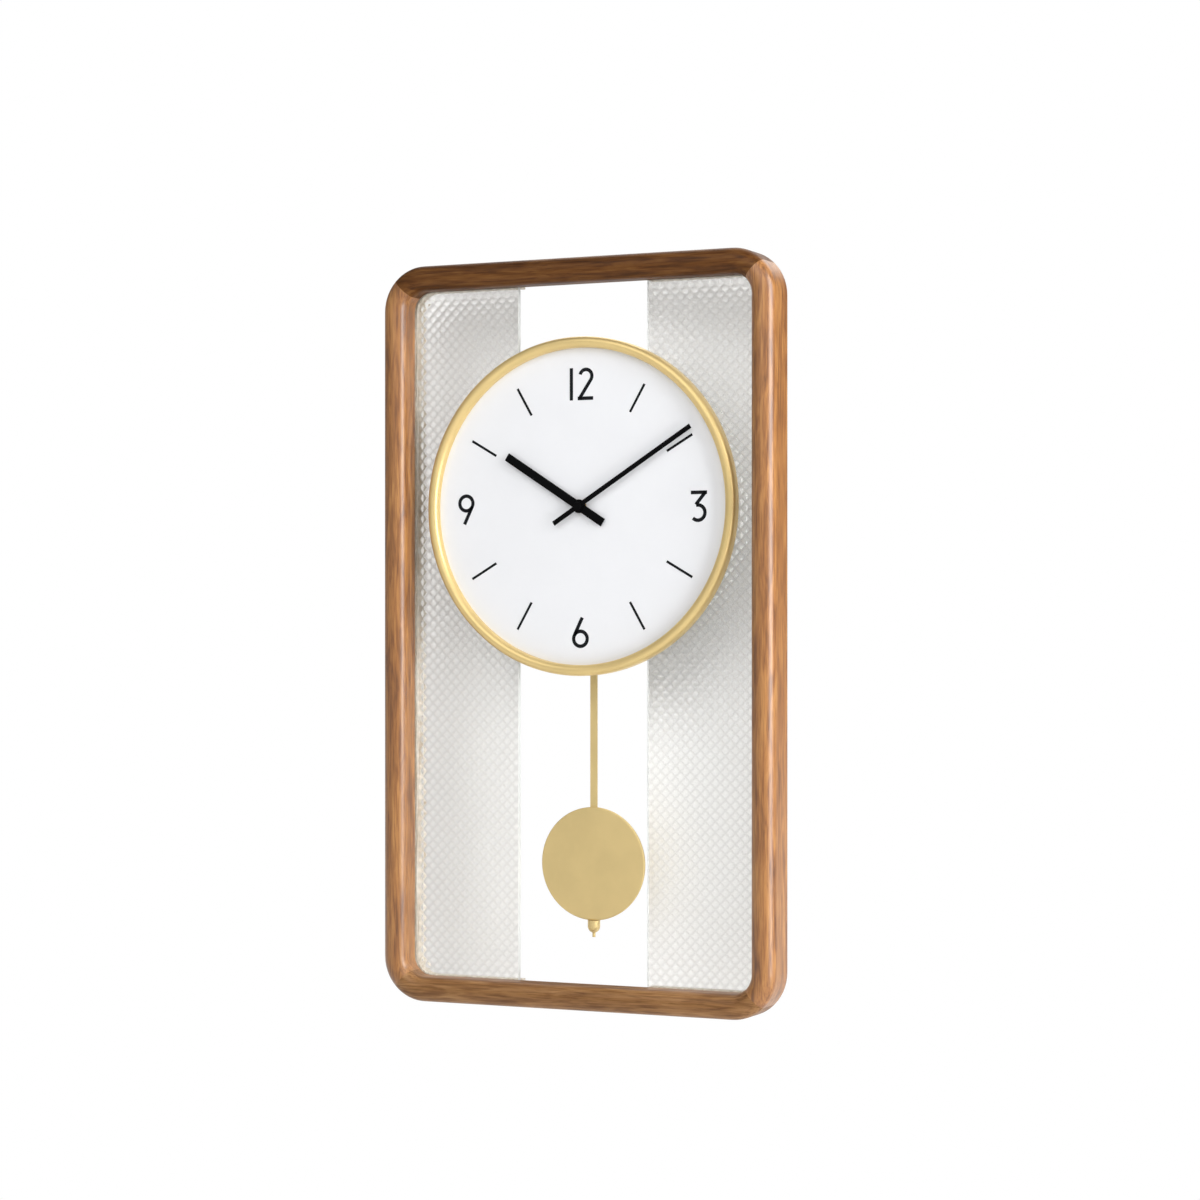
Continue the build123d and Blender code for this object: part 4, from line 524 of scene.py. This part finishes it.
def looped_numeral(shape, centre, turn):
    """A six about the loop's centre, or a nine when it is turned half round."""
    loop = arc((0, 0), LOOP_RADIUS, 0, 360, 48)[:-1]
    stem_top = Vector((STEM_LEAN, 2 * NUMERAL_HALF - LOOP_RADIUS))
    reach = stem_top.length
    touch = atan2(stem_top.y, stem_top.x) + acos(LOOP_RADIUS / reach)
    tangent = Vector((LOOP_RADIUS * cos(touch), LOOP_RADIUS * sin(touch)))
    for line, closed in ((loop, True), ([tangent, stem_top], False)):
        placed = [Vector((centre[0] + turn * point.x, centre[1] + turn * point.y)) for point in line]
        stroke(shape, placed, NUMERAL_STROKE, closed)


def build_twelve(shape):
    middle = NUMERAL_RADIUS
    bar_half = NUMERAL_HALF + NUMERAL_STROKE / 2
    stroke(shape, [Vector((ONE_X, middle + bar_half)), Vector((ONE_X, middle - bar_half))], NUMERAL_STROKE)
    bowl_centre = (TWO_X, middle + NUMERAL_HALF - TWO_BOWL)
    foot = Vector((TWO_FOOT_X, middle - NUMERAL_HALF))
    stroke(shape, arc(bowl_centre, TWO_BOWL, 165, -32) + [foot], NUMERAL_STROKE)
    stroke(shape, [Vector((x, foot.y)) for x in TWO_BASE], NUMERAL_STROKE)


def build_three(shape):
    middle = Vector((SIDE_NUMERAL_RADIUS, 0.0))
    top = NUMERAL_HALF - THREE_DROP
    stroke(shape, [middle + Vector((x, top)) for x in THREE_BAR], NUMERAL_STROKE)
    stroke(shape, [middle + Vector((THREE_ELBOW_X, top)), middle + Vector(THREE_WAIST)], NUMERAL_STROKE)
    stroke(shape, arc(middle + Vector(THREE_BOWL_CENTRE), LOOP_RADIUS, 105, -135), NUMERAL_STROKE)


def build_ticks(shape):
    for hour in range(12):
        if hour % 3:
            angle = radians(90 - 30 * hour)
            heading = Vector((cos(angle), sin(angle)))
            stroke(shape, [heading * TICK_INNER, heading * TICK_OUTER], TICK_WIDTH)


def build_six(shape):
    looped_numeral(shape, (0.0, -NUMERAL_RADIUS - NUMERAL_HALF + LOOP_RADIUS), 1)


def build_nine(shape):
    looped_numeral(shape, (-SIDE_NUMERAL_RADIUS, NUMERAL_HALF - LOOP_RADIUS), -1)


for mark_name, mark_maker in (("numeral_twelve", build_twelve), ("numeral_three", build_three),
                              ("numeral_six", build_six), ("numeral_nine", build_nine),
                              ("hour_ticks", build_ticks)):
    new_piece(mark_name, mark_maker, ink)


# Studio: lamps, floor, background and camera
def area_lamp(name, azimuth, elevation, distance, width, height, power):
    """Soft lamp round the clock; azimuth runs from the front to the clock's right."""
    data = bpy.data.lights.new(name, "AREA")
    data.shape = "RECTANGLE"
    data.size = width
    data.size_y = height
    data.energy = power
    lamp = bpy.data.objects.new(name, data)
    bpy.context.scene.collection.objects.link(lamp)
    turn, rise = radians(azimuth), radians(elevation)
    away = Vector((sin(turn) * cos(rise), -cos(turn) * cos(rise), sin(rise)))
    lamp.location = CLOCK_MIDDLE + away * distance
    lamp.rotation_mode = "QUATERNION"
    lamp.rotation_quaternion = away.to_track_quat("Z", "Y")
    return lamp


CLOCK_MIDDLE = (cad_box[0] + cad_box[1]) / 2
area_lamp("front_window", azimuth=6, elevation=35, distance=1.6, width=1.8, height=1.2, power=10)
softbox = area_lamp("right_softbox", azimuth=77, elevation=12, distance=1.5, width=0.8, height=1.4, power=28)
area_lamp("back_window", azimuth=180, elevation=50, distance=1.6, width=1.8, height=1.2, power=14)
wall_lamp = area_lamp("wall_window", azimuth=-3, elevation=24, distance=1.6,
                      width=2.2, height=1.2, power=15.5)

WHITE = (1.0, 1.0, 1.0, 1.0)
WHITE_SHARE = 0.06
STUDIO_FRONT = 0.36
STUDIO_BEHIND = 0.08
STUDIO_TURN = (-0.1, 0.3)


def link_white(tree, path, plain, white, output, share=None):
    """Shows the camera, glass and gloss a plain white surface in place of the lit one."""
    seen = tree.nodes.new("ShaderNodeMath")
    seen.operation = "MAXIMUM"
    tree.links.new(path.outputs["Is Camera Ray"], seen.inputs[0])
    tree.links.new(path.outputs["Is Transmission Ray"], seen.inputs[1])
    glossy = tree.nodes.new("ShaderNodeMath")
    glossy.operation = "MULTIPLY_ADD"
    glossy.inputs[1].default_value = 1.0
    if share is not None:
        tree.links.new(share, glossy.inputs[1])
    tree.links.new(path.outputs["Is Glossy Ray"], glossy.inputs[0])
    tree.links.new(seen.outputs[0], glossy.inputs[2])
    choice = tree.nodes.new("ShaderNodeMixShader")
    tree.links.new(glossy.outputs[0], choice.inputs["Fac"])
    tree.links.new(plain, choice.inputs[1])
    tree.links.new(white, choice.inputs[2])
    tree.links.new(choice.outputs[0], output)


# The studio is dimmer than its white background, and dimmest behind the clock
world = bpy.data.worlds.new("studio")
bpy.context.scene.world = world
world.use_nodes = True
sky = world.node_tree
sky_plain = sky.nodes["Background"]
sky_plain.inputs["Color"].default_value = WHITE
sky_white = sky.nodes.new("ShaderNodeBackground")
sky_white.inputs["Color"].default_value = WHITE
sky_heading = sky.nodes.new("ShaderNodeSeparateXYZ")
sky.links.new(sky.nodes.new("ShaderNodeTexCoord").outputs["Generated"], sky_heading.inputs["Vector"])


def from_front(front, behind):
    """A level that goes over from one side of the clock to the other."""
    made = sky.nodes.new("ShaderNodeMapRange")
    made.inputs["From Min"].default_value = STUDIO_TURN[0]
    made.inputs["From Max"].default_value = STUDIO_TURN[1]
    made.inputs["To Min"].default_value = front
    made.inputs["To Max"].default_value = behind
    sky.links.new(sky_heading.outputs["Y"], made.inputs["Value"])
    return made.outputs["Result"]


sky.links.new(from_front(STUDIO_FRONT, STUDIO_BEHIND), sky_plain.inputs["Strength"])
link_white(sky, sky.nodes.new("ShaderNodeLightPath"), sky_plain.outputs[0], sky_white.outputs[0],
           sky.nodes["World Output"].inputs["Surface"], from_front(0.0, WHITE_SHARE))


def stage_plane(name, corners):
    mesh = bpy.data.meshes.new(name)
    mesh.from_pydata(corners, [], [(0, 1, 2, 3)])
    made = bpy.data.objects.new(name, mesh)
    bpy.context.scene.collection.objects.link(made)
    mesh.materials.append(Finish(name + "_paint", Base_Color=srgb(249, 249, 248), Roughness=0.9).material)
    return made


FLOOR_DROP = 0.25
FLOOR_HALF = 8.0
floor_z = cad_box[0].z - FLOOR_DROP
floor = stage_plane("floor", [(x * FLOOR_HALF, y * FLOOR_HALF, floor_z)
                              for x, y in ((-1, -1), (1, -1), (1, 1), (-1, 1))])
floor_tree = floor.data.materials[0].node_tree
link_white(floor_tree, floor_tree.nodes.new("ShaderNodeLightPath"),
           floor_tree.nodes["Principled BSDF"].outputs[0],
           floor_tree.nodes.new("ShaderNodeEmission").outputs[0],
           floor_tree.nodes["Material Output"].inputs["Surface"])

# The wall that the clock hangs on shows only through the glass, with the clock's shadow on it
WALL_HALF = 1.2
WALL_GAP = 0.5 * MM
wall = stage_plane("wall", [(x * WALL_HALF, cad_box[1].y + WALL_GAP, CLOCK_MIDDLE.z + z * WALL_HALF)
                            for x, z in ((-1, -1), (1, -1), (1, 1), (-1, 1))])
wall.visible_camera = False
wall.visible_diffuse = False
wall.visible_glossy = False
wall.visible_shadow = False


def reach(name, thing, state):
    """Collection that keeps a lamp's light or its shadows to one thing, or off it."""
    made = bpy.data.collections.new(name)
    made.objects.link(thing)
    made.collection_objects[0].light_linking.link_state = state
    return made


softbox.light_linking.receiver_collection = reach("softbox_reach", wall, "EXCLUDE")
wall_lamp.light_linking.receiver_collection = reach("wall_lamp_reach", wall, "INCLUDE")
wall_lamp.light_linking.blocker_collection = reach("wall_lamp_shade", bob, "EXCLUDE")

camera_data = bpy.data.cameras.new("camera")
camera_data.lens = CAMERA_LENS
camera_data.sensor_width = CAMERA_SENSOR
camera_data.shift_y = CAMERA_SHIFT
camera = bpy.data.objects.new("camera", camera_data)
bpy.context.scene.collection.objects.link(camera)
camera.location = CAMERA_PLACE
camera.rotation_euler = (pi / 2, 0, CAMERA_AZIMUTH)
bpy.context.scene.camera = camera

bpy.context.scene.view_settings.view_transform = "Standard"
